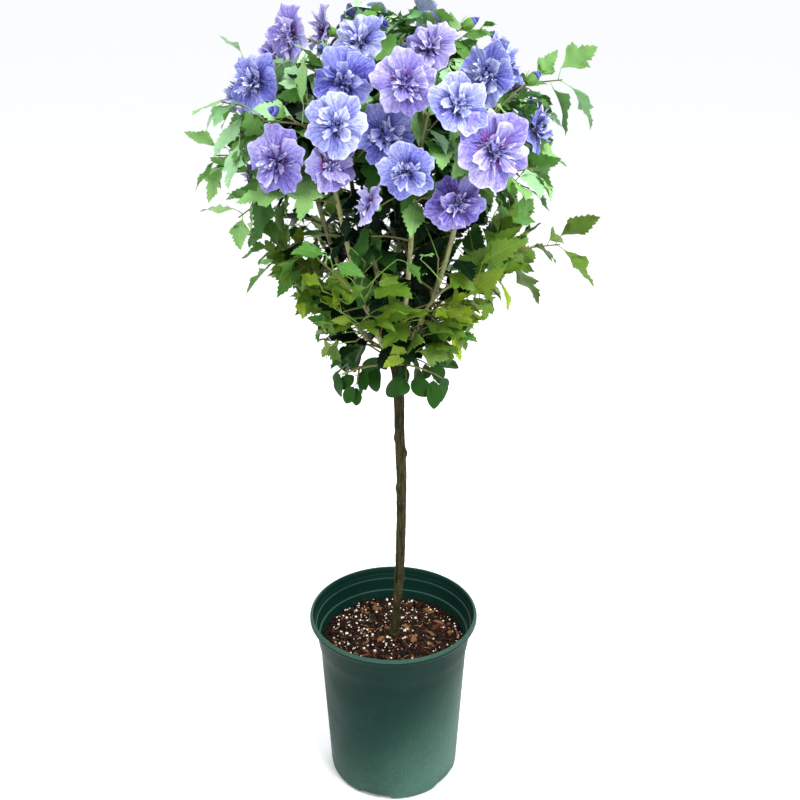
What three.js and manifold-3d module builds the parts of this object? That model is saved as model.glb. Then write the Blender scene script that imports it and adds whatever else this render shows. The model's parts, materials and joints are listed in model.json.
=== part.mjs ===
// A hibiscus shrub grown as a standard: one bare stem, a round head of canes, toothed leaves and
// double blooms, standing in a round nursery pot. Millimetres, +Z up. The origin is the middle of
// the pot's flat underside. Azimuths are degrees from the front (-Y) towards the right (+X).
import * as THREE from "three";
import { mergeVertices } from "three/addons/utils/BufferGeometryUtils.js";
import Module from "manifold-3d";

const wasm = await Module();
wasm.setup();

// ---------------------------------------------------------------- driving sizes

const GAP = 0.3; // between two pieces that touch

const POT_SIDES = 32; // flats round the pot and the potting mix
const POT_HEIGHT = 309;
const RIM_RADIUS = 140;
const RIM_INNER_RADIUS = 133.6;
const RIM_DEPTH = 12;
const COLLAR_RADIUS = 131; // under the rim
const COLLAR_FOOT_RADIUS = 126.5;
const COLLAR_FOOT_HEIGHT = 256;
const BODY_RADIUS = 123; // under the collar's step
const FOOT_RADIUS = 110.5;
const FOOT_CORNER = 7;
const POT_WALL = 2.4;
const POT_FLOOR = 4;
const DRAIN_SLOTS = 5;
const DRAIN_SLOT_SIZE = [54, 16, 9]; // along the wall, through it, high
const DRAIN_SLOT_REACH = 108; // from the axis to the slot's middle
const DRAIN_FIRST_AZIMUTH = -17;

const MIX_EDGE_HEIGHT = 254;
const MIX_TOP_HEIGHT = 262;
const MIX_FLAT_RADIUS = 18; // level round the stem's foot
const MIX_LUMPS = 1.6;

// The stem's lean and girth: height, sideways place, radius.
const TRUNK_LINE = [
  [262, 1.4, 8.8],
  [270, 2.0, 7.7],
  [310, 4.8, 7.2],
  [370, 9.7, 7.5],
  [430, 11.9, 7.7],
  [490, 13.0, 7.8],
  [555, 13.9, 7.9],
  [590, 12.4, 7.8],
  [625, 10.7, 7.8],
  [660, 9.9, 7.9],
  [693, 9.8, 8.0],
  [722, 8.2, 8.2],
  [748, 5.0, 8.6],
  [790, 3.0, 8.0],
];
const TRUNK_SIDES = 8;
const TRUNK_STEPS = 30;
const HEAD = [3, 0, 776]; // the swollen head that the canes leave
const HEAD_SWELL = 8.4;
const HEAD_SPREAD = 17;
// Pruning scars on the stem: height, azimuth, size.
const KNOTS = [
  [285, 0, 1.3],
  [371, 100, 1.9],
  [380, -95, 2.2],
  [541, -90, 2.0],
  [603, 90, 3.0],
  [629, -90, 2.0],
];
const KNOT_SPREAD = 7;

// The crown's outline: height, radius. Leaf tips stay inside it, apart from the long twigs' own.
const CROWN_OUTLINE = [
  [715, 80],
  [770, 112],
  [823, 138],
  [885, 172],
  [945, 208],
  [1000, 240],
  [1060, 256],
  [1140, 258],
  [1185, 240],
  [1225, 200],
  [1252, 150],
  [1270, 100],
];
const CROWN_TOP = 1268;

// Tiers of shoots. Each shoot is a cane from the head (rise: the angle it leaves at), bare as far
// as its end, and leafy from there to its tip. Places are [radius, height] in the shoot's own plane.
const TIERS = [
  {
    name: "outer", count: 7, first: 12, rise: 34, lead: 78, end: [106, 1000], tip: [192, 1192],
    lean: [30, 80], radius: [3.8, 3.4], site: [160, 1085], twigs: 6, twig: 100, leaf: 70,
  },
  {
    name: "inner", count: 3, first: 50, rise: 67, lead: 80, end: [34, 1030], tip: [60, 1232],
    lean: [8, 90], radius: [3.4, 3.2], site: [56, 1150], twigs: 6, twig: 84, leaf: 66,
  },
  {
    name: "lower", count: 6, first: 35, rise: 2, lead: 36, end: [58, 824], tip: [164, 926],
    lean: [44, 42], radius: [3.2, 3.0], site: [104, 880], twigs: 8, twig: 82, leaf: 68,
  },
  {
    name: "skirt", count: 4, first: 42, end: [3, 752], tip: [84, 752],
    lean: [36, 12], radius: [3.0, 3.0], site: [62, 748], twigs: 2, twig: 44, leaf: 46, oval: true,
  },
];
const BOUGH_SIDES = 5;
const BOUGH_STEPS = 4;
const STEM_STEPS = 3;
const STEM_TIP_RADIUS = 2.4;
const TWIG_RADIUS = [1.6, 1.5];
const TWIG_SINK = 2.0; // how deep a twig starts under its stem's face
const TWIG_SIDES = 3;

// Blooms on the front: azimuth, radius, height, then the azimuth and rise that the face looks to.
const FRONT_BLOOMS = [
  [-71, 190, 1173, -40, 18],
  [-20, 172, 1185, -12, 14],
  [5, 192, 1186, 2, 10],
  [-16, 234, 1142, -10, 12],
  [-3, 158, 1120, 8, 2],
  [-46, 205, 1085, -28, 6],
  [-30, 158, 1080, 42, 6],
  [22, 214, 1162, 16, 18],
  [32, 236, 1110, 20, 8],
  [25, 192, 1036, 14, -6],
  [5, 222, 1087, -8, -16],
  [76, 200, 1112, 118, 6],
  [42, 178, 1189, -38, 10],
  [-72, 140, 1229, -112, -8],
  [-22, 104, 1232, 168, 34],
  [34, 88, 1219, -30, 40],
  [84, 152, 1192, 70, 30],
  [-8, 196, 1042, -86, 26],
];
// The same density round the sides and back, in rows: height, radius, how many, stagger.
const BACK_ROWS = [
  [1040, 194, 3, 0.7],
  [1098, 220, 5, 0.25],
  [1150, 210, 5, 0.7],
  [1200, 164, 4, 0.45],
  [1238, 94, 3, 0.7],
];
const BACK_ARC = [102, 278];
const BLOOM_RADIUS = 40;

// Buds: azimuth, radius, height.
const BUDS = [
  [-50, 190, 1146],
  [-38, 132, 1232],
  [-20, 56, 1250],
  [77, 96, 1252],
  [72, 186, 1186],
  [150, 120, 1240],
  [205, 200, 1120],
  [250, 165, 1215],
];
const BUD_LENGTH = 26;

// Long leafy twigs that stand out of the head: azimuth, radius, height of their tips.
const LONG_TWIGS = [
  [-84, 232, 1142],
  [-90, 248, 1066],
  [-95, 212, 1214],
  [-83, 218, 984],
  [-75, 170, 944],
  [90, 232, 1168],
  [76, 176, 1034],
  [94, 246, 934],
  [82, 160, 896],
  [135, 238, 1060],
  [180, 236, 980],
  [228, 236, 1110],
  [160, 232, 1164],
];
const TUFT_LEAVES = 2;

const MATERIALS = {
  pot: { color: 0x2d5a4b, roughness: 0.45, metalness: 0 },
  mix: { color: 0x2a1d17, roughness: 0.95, metalness: 0 },
  bark: { color: 0x5c5438, roughness: 0.85, metalness: 0 },
  cane: { color: 0x8a8660, roughness: 0.8, metalness: 0 },
  foliage: { color: 0x4f8a4a, roughness: 0.6, metalness: 0 },
};

// ---------------------------------------------------------------- small tools

const UP = new THREE.Vector3(0, 0, 1);
const SIDEWAYS = new THREE.Vector3(0, 1, 0);
const GOLDEN_ANGLE = THREE.MathUtils.degToRad(137.5);

// A repeatable stream of numbers from 0 to 1.
function seeded(seed) {
  let state = seed >>> 0;
  return () => {
    state = (state + 0x6d2b79f5) >>> 0;
    let t = state;
    t = Math.imul(t ^ (t >>> 15), t | 1);
    t ^= t + Math.imul(t ^ (t >>> 7), t | 61);
    return ((t ^ (t >>> 14)) >>> 0) / 4294967296;
  };
}

function outward(azimuth) {
  const a = THREE.MathUtils.degToRad(azimuth);
  return new THREE.Vector3(Math.sin(a), -Math.cos(a), 0);
}

function place(azimuth, radius, height) {
  return outward(azimuth).multiplyScalar(radius).setZ(height);
}

function facing(azimuth, rise) {
  const r = THREE.MathUtils.degToRad(rise);
  return outward(azimuth).multiplyScalar(Math.cos(r)).setZ(Math.sin(r));
}

// a + b * scale + c * scale2 ..., as a new vector
function mix(...terms) {
  const sum = new THREE.Vector3();
  for (const [vector, scale] of terms) sum.addScaledVector(vector, scale);
  return sum;
}

function alongTable(table, at) {
  let i = 1;
  while (i < table.length - 1 && at > table[i][0]) i++;
  const [a, b] = [table[i - 1], table[i]];
  const share = THREE.MathUtils.clamp((at - a[0]) / (b[0] - a[0]), 0, 1);
  return THREE.MathUtils.lerp(a[1], b[1], share);
}

function awayFromAxis(point) {
  const flat = new THREE.Vector3(point.x, point.y, 0);
  return flat.length() > 1 ? flat.normalize() : new THREE.Vector3(0, -1, 0);
}

function anyAcross(direction) {
  const other = Math.abs(direction.z) < 0.9 ? UP : SIDEWAYS;
  return new THREE.Vector3().crossVectors(direction, other).normalize();
}

// ---------------------------------------------------------------- solids

function solidOfArrays(points, faces) {
  const vertProperties = new Float32Array(points.flatMap((p) => [p.x, p.y, p.z]));
  return new wasm.Manifold(
    new wasm.Mesh({ numProp: 3, vertProperties, triVerts: new Uint32Array(faces.flat()) }),
  );
}

function solidOfGeometry(geometry) {
  const bare = geometry.clone();
  bare.deleteAttribute("normal");
  bare.deleteAttribute("uv");
  const merged = mergeVertices(bare, 1e-3);
  return new wasm.Manifold(
    new wasm.Mesh({
      numProp: 3,
      vertProperties: merged.attributes.position.array,
      triVerts: new Uint32Array(merged.index.array),
    }),
  );
}

function geometryOfSolid(solid) {
  const mesh = solid.getMesh();
  const geometry = new THREE.BufferGeometry();
  geometry.setAttribute("position", new THREE.BufferAttribute(mesh.vertProperties, 3));
  geometry.setIndex(new THREE.BufferAttribute(mesh.triVerts, 1));
  geometry.computeVertexNormals();
  return geometry;
}

function largestBody(solid) {
  const bodies = solid.decompose();
  return bodies.reduce((best, body) => (body.volume() > best.volume() ? body : best));
}

// Joins solids into one body: sealed hollows are filled and loose scraps dropped, again after
// vertices that all but meet are welded.
function joined(solids) {
  const whole = largestBody(wasm.Manifold.union(solids).simplify(0.02));
  return largestBody(solidOfGeometry(geometryOfSolid(whole)));
}

// One ring of corners round a limb. The radius is a number, or is worked out from the turn.
function ringAt(point, tangent, across, radius, sides) {
  const second = new THREE.Vector3().crossVectors(tangent, across);
  return Array.from({ length: sides }, (_, k) => {
    const turn = (k / sides) * 2 * Math.PI;
    const r = typeof radius === "function" ? radius(turn) : radius;
    return mix([point, 1], [across, r * Math.cos(turn)], [second, r * Math.sin(turn)]);
  });
}

// The solid between rings of corners, with a flat cap on either end.
function solidOfRings(rings) {
  const sides = rings[0].length;
  const faces = [];
  for (let i = 0; i + 1 < rings.length; i++) {
    for (let k = 0; k < sides; k++) {
      const [a, b] = [i * sides + k, i * sides + ((k + 1) % sides)];
      faces.push([a, b, b + sides], [a, b + sides, a + sides]);
    }
  }
  const last = (rings.length - 1) * sides;
  for (let k = 1; k + 1 < sides; k++) {
    faces.push([0, k + 1, k], [last, last + k, last + k + 1]);
  }
  return solidOfArrays(rings.flat(), faces);
}

// A tapering limb along a bent line.
function bentLimb(path, radiusFrom, radiusTo, sides, steps) {
  const across = pathNormal(path);
  const rings = [];
  for (let i = 0; i <= steps; i++) {
    const radius = THREE.MathUtils.lerp(radiusFrom, radiusTo, i / steps);
    rings.push(ringAt(path.getPoint(i / steps), path.getTangent(i / steps), across, radius, sides));
  }
  return { path, rings, ...asObstacle(solidOfRings(rings)) };
}

function pathNormal(path) {
  const first = mix([path.v1, 1], [path.v0, -1]);
  const second = mix([path.v2, 1], [path.v1, -1]);
  const normal = new THREE.Vector3().crossVectors(first, second);
  const straight = normal.length() < 1e-3 * first.length() * second.length();
  return straight ? anyAcross(first.normalize()) : normal.normalize();
}

// Where a limb's flat face that looks most nearly along a heading lies, some share along the limb.
function faceTowards({ rings }, at, heading) {
  const steps = rings.length - 1;
  const step = Math.min(Math.floor(at * steps), steps - 1);
  const share = THREE.MathUtils.clamp(at * steps - step, 0.06, 0.94);
  const [near, far] = [rings[step], rings[step + 1]];
  const sides = near.map((corner, k) => {
    const next = (k + 1) % near.length;
    return mix(
      [corner, (1 - share) / 2],
      [near[next], (1 - share) / 2],
      [far[k], share / 2],
      [far[next], share / 2],
    );
  });
  const middle = mix(...sides.map((side) => [side, 1 / sides.length]));
  const towards = (side) => mix([side, 1], [middle, -1]).dot(heading);
  return sides.reduce((best, side) => (towards(side) > towards(best) ? side : best));
}

// ---------------------------------------------------------------- pot and potting mix

function potSolid() {
  const inner = (radius) => radius - POT_WALL;
  const collarTop = POT_HEIGHT - RIM_DEPTH;
  const profile = [
    [0, 0],
    [FOOT_RADIUS - FOOT_CORNER, 0],
    [FOOT_RADIUS, FOOT_CORNER * 1.3],
    [BODY_RADIUS, COLLAR_FOOT_HEIGHT - 4],
    [COLLAR_FOOT_RADIUS, COLLAR_FOOT_HEIGHT],
    [COLLAR_RADIUS, collarTop],
    [RIM_RADIUS, collarTop + 1.5],
    [RIM_RADIUS, POT_HEIGHT - 3],
    [RIM_RADIUS - 3, POT_HEIGHT],
    [RIM_INNER_RADIUS, POT_HEIGHT - 1.2],
    [inner(COLLAR_RADIUS) + 2, collarTop - 3],
    [inner(COLLAR_RADIUS) - 0.8, collarTop - 4.2],
    [inner(COLLAR_FOOT_RADIUS), COLLAR_FOOT_HEIGHT + 3],
    [inner(BODY_RADIUS), COLLAR_FOOT_HEIGHT],
    [inner(FOOT_RADIUS), FOOT_CORNER * 1.3],
    [inner(FOOT_RADIUS) - 3, POT_FLOOR],
    [0, POT_FLOOR],
  ].map(([r, z]) => new THREE.Vector2(r, z));
  let pot = solidOfGeometry(new THREE.LatheGeometry(profile, POT_SIDES).rotateX(Math.PI / 2));
  const [width, depth, height] = DRAIN_SLOT_SIZE;
  for (let k = 0; k < DRAIN_SLOTS; k++) {
    const azimuth = DRAIN_FIRST_AZIMUTH + (k * 360) / DRAIN_SLOTS;
    const slot = new THREE.BoxGeometry(width, depth, 2 * height);
    slot.rotateZ(THREE.MathUtils.degToRad(azimuth));
    const middle = place(azimuth, DRAIN_SLOT_REACH, 0);
    slot.translate(middle.x, middle.y, middle.z);
    pot = pot.subtract(solidOfGeometry(slot));
  }
  return pot;
}

function mixSolid() {
  const wallAt = (z) => {
    const share = (z - FOOT_CORNER * 1.3) / (COLLAR_FOOT_HEIGHT - FOOT_CORNER * 1.3);
    return THREE.MathUtils.lerp(FOOT_RADIUS, BODY_RADIUS, share) - POT_WALL - GAP;
  };
  const profile = [
    [0, POT_FLOOR + GAP],
    [FOOT_RADIUS - POT_WALL - 3 - GAP, POT_FLOOR + GAP],
    [wallAt(FOOT_CORNER * 1.3), FOOT_CORNER * 1.3],
    [wallAt(MIX_EDGE_HEIGHT), MIX_EDGE_HEIGHT],
    [84, MIX_EDGE_HEIGHT + 4.2],
    [50, MIX_EDGE_HEIGHT + 6.2],
    [MIX_FLAT_RADIUS, MIX_TOP_HEIGHT],
    [0, MIX_TOP_HEIGHT],
  ].map(([r, z]) => new THREE.Vector2(r, z));
  const geometry = new THREE.LatheGeometry(profile, POT_SIDES).rotateX(Math.PI / 2);
  const position = geometry.attributes.position;
  for (let i = 0; i < position.count; i++) {
    const [x, y, z] = [position.getX(i), position.getY(i), position.getZ(i)];
    const r = Math.hypot(x, y);
    const onTop = z > MIX_EDGE_HEIGHT + 1 && r > MIX_FLAT_RADIUS + 1;
    if (onTop) position.setZ(i, z + MIX_LUMPS * Math.sin(x / 7.3) * Math.cos(y / 6.1));
  }
  return solidOfGeometry(geometry);
}

// ---------------------------------------------------------------- stem and canes

// The bare stem. Grown by extra all round, it is the space that other pieces keep out of.
function trunkSolid(extra = 0) {
  const line = new THREE.CatmullRomCurve3(TRUNK_LINE.map(([z, x]) => new THREE.Vector3(x, 0, z)));
  const girth = TRUNK_LINE.map(([z, , r]) => [z, r]);
  const rings = [];
  for (let i = 0; i <= TRUNK_STEPS; i++) {
    const point = line.getPointAt(i / TRUNK_STEPS);
    if (i === 0) point.z += GAP - extra;
    if (i === TRUNK_STEPS) point.z += extra;
    const swell = HEAD_SWELL * Math.exp(-(((point.z - HEAD[2]) / HEAD_SPREAD) ** 2));
    const base = alongTable(girth, point.z) + swell + extra * 1.06;
    const radius = (turn) => base + knotAt(point.z, turn);
    rings.push(ringAt(point, UP, SIDEWAYS, radius, TRUNK_SIDES));
  }
  return solidOfRings(rings);
}

function knotAt(height, turn) {
  let bump = 0;
  for (const [z, azimuth, size] of KNOTS) {
    // turn 0 is the back (+Y), and a quarter turn is the left (-X)
    const away = turn - THREE.MathUtils.degToRad(azimuth) - Math.PI;
    const near = Math.exp(-(((height - z) / KNOT_SPREAD) ** 2));
    bump += size * near * Math.max(0, Math.cos(away)) ** 2;
  }
  return bump;
}

// Lists every shoot of every tier, with its cane's path and its leafy stem's path.
function listShoots() {
  const shoots = [];
  const head = new THREE.Vector3(...HEAD);
  TIERS.forEach((tier, rank) => {
    for (let k = 0; k < tier.count; k++) {
      const random = seeded(1000 * (rank + 1) + k);
      const azimuth = tier.first + (k * 360) / tier.count + 10 * (random() - 0.5);
      const reach = 0.95 + 0.1 * random();
      const [endRadius, endHeight] = tier.end;
      const end = place(azimuth, endRadius, endHeight);
      if (!tier.rise) end.add(new THREE.Vector3(HEAD[0], HEAD[1], 0));
      const tip = place(azimuth + 8 * (random() - 0.5), tier.tip[0] * reach, tier.tip[1]);
      const lean = place(azimuth, tier.lean[0], tier.lean[1]);
      const shoot = { tier, azimuth, random, name: tier.name + "_" + (k + 1) };
      shoot.site = place(azimuth, ...tier.site);
      if (tier.rise) {
        const leads = mix([head, 1], [facing(azimuth, tier.rise), tier.lead]);
        shoot.cane = new THREE.QuadraticBezierCurve3(head, leads, end);
        const onward = mix([end, 1], [leads, -1]).normalize();
        const seat = mix([end, 1], [onward, GAP]);
        const bend = mix([seat, 1], [onward, lean.length()]);
        shoot.stem = new THREE.QuadraticBezierCurve3(seat, bend, tip);
      } else {
        shoot.stem = new THREE.QuadraticBezierCurve3(end, mix([end, 1], [lean, 1]), tip);
      }
      shoots.push(shoot);
    }
  });
  return shoots;
}

function caneSolid(shoot, extra = 0) {
  const [from, to] = shoot.tier.radius;
  return bentLimb(shoot.cane, from + extra, to + extra, BOUGH_SIDES, BOUGH_STEPS).solid;
}

// ---------------------------------------------------------------- leaves, blooms and buds

// Half outlines of a blade as shares of its length: along, to the side.
const LOBED = [[0.4, 0.36], [0.6, 0.2]];
const OVAL = [[0.3, 0.3], [0.72, 0.3]];
const LEAF_THICKNESS = 0.03; // share of its length, at the midrib

function leafSolid(root, along, normal, length, outline) {
  const across = new THREE.Vector3().crossVectors(normal, along).normalize();
  const face = new THREE.Vector3().crossVectors(along, across).normalize();
  const at = (x, y, z) =>
    mix([root, 1], [along, x * length], [across, y * length], [face, z * length]);
  const [near, far] = outline;
  const points = [
    at(0, 0, 0),
    at(near[0], -near[1], -0.05),
    at(far[0], -far[1], -0.05),
    at(1, 0, -0.1),
    at(far[0], far[1], -0.05),
    at(near[0], near[1], -0.05),
    at(0.36, 0, LEAF_THICKNESS),
  ];
  const faces = [[0, 5, 1], [1, 5, 2], [2, 5, 4], [2, 4, 3]];
  for (let i = 0; i < 6; i++) faces.push([6, i, (i + 1) % 6]);
  return solidOfArrays(points, faces);
}

// A double bloom: five broad petals, a ruffled middle, and a calyx that the twig enters.
function bloomSolid(bloom, scale = 1) {
  const across = anyAcross(bloom.face);
  const second = new THREE.Vector3().crossVectors(bloom.face, across);
  const size = BLOOM_RADIUS * scale;
  const at = (degrees, radius, forward) => {
    const turn = THREE.MathUtils.degToRad(degrees + bloom.spin);
    return mix(
      [bloom.middle, 1],
      [across, radius * size * Math.cos(turn)],
      [second, radius * size * Math.sin(turn)],
      [bloom.face, forward * size],
    );
  };
  const points = [at(0, 0, 0.24)];
  const faces = [];
  // Each petal has a notch, two edge points, a throat point, a ruffle point and a calyx point.
  const petal = (k) => [0, 1, 2, 3, 4, 5].map((j) => 1 + (k % 5) * 6 + j);
  for (let k = 0; k < 5; k++) {
    const a = k * 72;
    points.push(at(a - 36, 0.8, -0.1), at(a - 17, 1, 0.1), at(a + 17, 1, 0.02));
    points.push(at(a, 0.42, -0.08), at(a, 0.26, 0.3), at(a, 0.13, -0.52));
    const [notch, left, right, throat, ruffle, calyx] = petal(k);
    const [nextNotch, , , nextThroat, nextRuffle, nextCalyx] = petal(k + 1);
    faces.push([notch, left, throat], [left, right, throat], [right, nextNotch, throat]);
    faces.push([nextNotch, nextThroat, throat]);
    faces.push([throat, nextThroat, nextRuffle], [throat, nextRuffle, ruffle]);
    faces.push([ruffle, nextRuffle, 0]);
    faces.push([calyx, left, notch], [calyx, right, left], [calyx, nextNotch, right]);
    faces.push([calyx, nextCalyx, nextNotch]);
  }
  const calyxes = [0, 1, 2, 3, 4].map((k) => petal(k)[5]);
  for (let k = 1; k < 4; k++) faces.push([calyxes[0], calyxes[k + 1], calyxes[k]]);
  return solidOfArrays(points, faces);
}

function budSolid(root, along) {
  const across = anyAcross(along);
  const second = new THREE.Vector3().crossVectors(along, across);
  const girth = BUD_LENGTH * 0.25;
  const middle = mix([root, 1], [along, BUD_LENGTH * 0.4]);
  const points = [root, mix([root, 1], [along, BUD_LENGTH])];
  for (let k = 0; k < 4; k++) {
    const turn = (k * Math.PI) / 2;
    const side = mix([across, girth * Math.cos(turn)], [second, girth * Math.sin(turn)]);
    points.push(side.add(middle));
  }
  const faces = [];
  for (let k = 0; k < 4; k++) {
    const [a, b] = [2 + k, 2 + ((k + 1) % 4)];
    faces.push([0, b, a], [1, a, b]);
  }
  return solidOfArrays(points, faces);
}

// ---------------------------------------------------------------- where things grow

function nearestShoot(point, shoots) {
  return shoots.reduce((best, shoot) =>
    shoot.site.distanceTo(point) < best.site.distanceTo(point) ? shoot : best,
  );
}

function listBlooms() {
  const random = seeded(77);
  const blooms = FRONT_BLOOMS.map(([azimuth, radius, height, faceAzimuth, rise]) => ({
    middle: place(azimuth, radius, height),
    face: facing(faceAzimuth, rise),
    spin: 72 * random(),
  }));
  BACK_ROWS.forEach(([height, radius, count, stagger]) => {
    const [from, to] = BACK_ARC;
    for (let k = 0; k < count; k++) {
      const share = (k + stagger) / count;
      const azimuth = from + (to - from) * share + 8 * (random() - 0.5);
      const middle = place(azimuth, radius + 14 * (random() - 0.5), height + 16 * (random() - 0.5));
      const face = facing(azimuth + 50 * (random() - 0.5), 14 + 30 * (random() - 0.4));
      blooms.push({ middle, face, spin: 72 * random() });
    }
  });
  return blooms;
}

// Every vertex of a solid as a point.
function verticesOf(solid) {
  const { vertProperties } = solid.getMesh();
  const points = [];
  for (let i = 0; i < vertProperties.length; i += 3) {
    points.push(new THREE.Vector3().fromArray(vertProperties, i));
  }
  return points;
}

// True if the point is nearer this shoot's site than any other's, with half the gap to spare.
function inOwnSpace(point, shoot, shoots) {
  return shoots.every((other) => {
    if (other === shoot) return true;
    const apart = other.site.distanceTo(shoot.site);
    const lead = other.site.distanceToSquared(point) - shoot.site.distanceToSquared(point);
    return lead / (2 * apart) > GAP;
  });
}

function inOutline(point) {
  const radius = Math.hypot(point.x, point.y);
  return point.z < CROWN_TOP && radius < alongTable(CROWN_OUTLINE, point.z);
}

function boxesMeet(a, b) {
  return [0, 1, 2].every((i) => a.min[i] < b.max[i] && b.min[i] < a.max[i]);
}

function touches({ solid, box }, obstacles) {
  return obstacles.some(
    (other) => boxesMeet(box, other.box) && !solid.intersect(other.solid).isEmpty(),
  );
}

function asObstacle(solid) {
  return { solid, box: solid.boundingBox() };
}

// ---------------------------------------------------------------- one mass of foliage

const LEAF_SPACING = 40;
const LEAF_TRIES = 10; // headings tried before a leaf is left out
const ROOT_SINK = 0.7; // a leaf's root lies this deep under the twig's face

// The stem of a mass, and its twigs to the blooms, buds and long tips that lie in its space.
function growBearers(shoot, crown) {
  const { tier, stem } = shoot;
  const main = bentLimb(stem, tier.radius[1], STEM_TIP_RADIUS, BOUGH_SIDES, STEM_STEPS);
  shoot.solids = [main.solid];
  shoot.limbs = [{ ...main, from: 0.16, kind: "stem" }];
  for (const target of crown.targets.filter((t) => t.shoot === shoot)) {
    const at = stemShareBelow(stem, target.end.z - 62);
    const heading = mix([target.end, 1], [stem.getPoint(at), -1]).normalize();
    const start = twigStart(main, at, heading);
    const reach = start.distanceTo(target.end);
    const bend = mix([start, 1], [stem.getTangent(at), reach * 0.3], [UP, reach * 0.12]);
    const path = new THREE.QuadraticBezierCurve3(start, bend, target.end);
    const twig = bentLimb(path, TWIG_RADIUS[0], TWIG_RADIUS[1], TWIG_SIDES, 2);
    const foreign = [...crown.blooms, ...crown.bearers].filter((other) => other.shoot !== shoot);
    if (touches(twig, [...crown.limbs, ...foreign])) continue;
    shoot.solids.push(twig.solid);
    if (target.bloom) shoot.solids.push(bloomSolid(target.bloom));
    if (target.bud) shoot.solids.push(budSolid(target.end, path.getTangent(1)));
    shoot.limbs.push({ ...twig, from: 0.3, kind: target.tip ? "tip" : "bearer" });
  }
  crown.bearers.push(...shoot.limbs.map(({ solid, box }) => ({ solid, box, shoot })));
}

// One mass: the bearing twigs, more twigs by the rule, and leaves along them all.
function growMass(shoot, crown) {
  const { tier, random, stem, limbs, solids } = shoot;
  const leaves = [];
  const foreign = crown.bearers.filter((other) => other.shoot !== shoot);
  const keepOff = [...crown.limbs, ...crown.blooms, ...foreign];

  const fits = (piece, obstacles, outlined) =>
    verticesOf(piece.solid).every(
      (point) => inOwnSpace(point, shoot, crown.shoots) && (!outlined || inOutline(point)),
    ) && !touches(piece, obstacles);

  // Twigs by the rule: round the stem by the golden angle, shorter towards its tip.
  for (let k = 0; k < tier.twigs; k++) {
    const at = 0.08 + (0.86 * (k + 0.5)) / tier.twigs;
    const tangent = stem.getTangent(at);
    const side = anyAcross(tangent).applyAxisAngle(tangent, k * GOLDEN_ANGLE + random());
    const length = tier.twig * (1 - 0.35 * at) * (0.8 + 0.4 * random());
    const away = awayFromAxis(stem.getPoint(at));
    const heading = mix([side, 0.8], [tangent, 0.45], [away, 0.3]).normalize();
    const start = twigStart(limbs[0], at, heading);
    for (const share of [1, 0.75, 0.5]) {
      const end = mix([start, 1], [heading, length * share]);
      const bend = mix([start, 1], [heading, length * share * 0.5], [UP, length * 0.06]);
      const path = new THREE.QuadraticBezierCurve3(start, bend, end);
      const twig = bentLimb(path, TWIG_RADIUS[0], TWIG_RADIUS[1], TWIG_SIDES, 2);
      if (!fits(twig, [...keepOff, ...limbs.slice(1)], true)) continue;
      limbs.push({ ...twig, from: 0.3, kind: "twig" });
      break;
    }
  }

  // Leaves along every limb, and a tuft at the end of those without a bloom or bud.
  for (const own of limbs) {
    const { path, from, kind } = own;
    const count = Math.max(1, Math.round((path.getLength() * (1 - from)) / LEAF_SPACING));
    const tuft = kind === "bearer" ? 0 : TUFT_LEAVES;
    const obstacles = [...keepOff, ...limbs.filter((other) => other !== own)];
    for (let k = 0; k < count + tuft; k++) {
      const inTuft = k >= count;
      const at = inTuft ? 0.96 : from + ((1 - from) * (k + 0.2)) / count;
      const tangent = path.getTangent(at);
      const point = path.getPoint(at);
      const away = awayFromAxis(point);
      const size = tier.leaf * (0.82 + 0.36 * random()) * (kind === "tip" ? 0.8 : 1);
      for (let attempt = 0; attempt < LEAF_TRIES; attempt++) {
        const turn = (k + attempt * 0.7) * GOLDEN_ANGLE + 2 * random();
        const droop = 0.1 + 0.5 * random();
        const side = anyAcross(tangent).applyAxisAngle(tangent, turn);
        const along = mix([side, 0.9], [tangent, 0.35], [away, 0.45], [UP, -droop]).normalize();
        const normal = mix([UP, 0.9], [away, 0.7], [side, 0.3 * (random() - 0.5)]);
        const root = mix([faceTowards(own, at, along), 1], [along, -ROOT_SINK]);
        const outline = tier.oval ? OVAL : LOBED;
        const leaf = asObstacle(leafSolid(root, along, normal, size, outline));
        const others = leaves.filter((other) => !(inTuft && other.tuft === own));
        if (!fits(leaf, [...obstacles, ...others], kind !== "tip")) continue;
        leaves.push({ ...leaf, own, tuft: inTuft ? own : null });
        break;
      }
    }
  }
  const leafy = limbs.filter(
    (limb) => limb.kind === "twig" && leaves.some((leaf) => leaf.own === limb),
  );
  const mass = joined([...solids, ...[...leafy, ...leaves].map((piece) => piece.solid)]);
  return tier.rise ? mass : joined([mass.subtract(crown.trunk.solid)]);
}

function twigStart(main, at, heading) {
  return mix([faceTowards(main, at, heading), 1], [heading, -TWIG_SINK]);
}

function stemShareBelow(stem, height) {
  let share = 0.06;
  while (share < 0.85 && stem.getPoint(share + 0.03).z < height) share += 0.03;
  return share;
}

// ---------------------------------------------------------------- the whole plant

function listTargets(shoots, blooms) {
  const targets = blooms.map((bloom) => ({
    bloom,
    end: mix([bloom.middle, 1], [bloom.face, -0.3 * BLOOM_RADIUS]),
    home: bloom.middle,
  }));
  for (const [azimuth, radius, height] of BUDS) {
    targets.push({ bud: true, end: place(azimuth, radius, height - BUD_LENGTH * 0.6) });
  }
  for (const [azimuth, radius, height] of LONG_TWIGS) {
    targets.push({ tip: true, end: place(azimuth, radius, height) });
  }
  for (const target of targets) {
    target.shoot = nearestShoot(target.home || target.end, shoots);
    if (target.bloom) target.bloom.shoot = target.shoot;
  }
  return targets;
}

function addMesh(group, name, solid, look) {
  const material = new THREE.MeshStandardMaterial({ ...MATERIALS[look], flatShading: true });
  const mesh = new THREE.Mesh(geometryOfSolid(solid), material);
  mesh.name = name;
  group.add(mesh);
}

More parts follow.
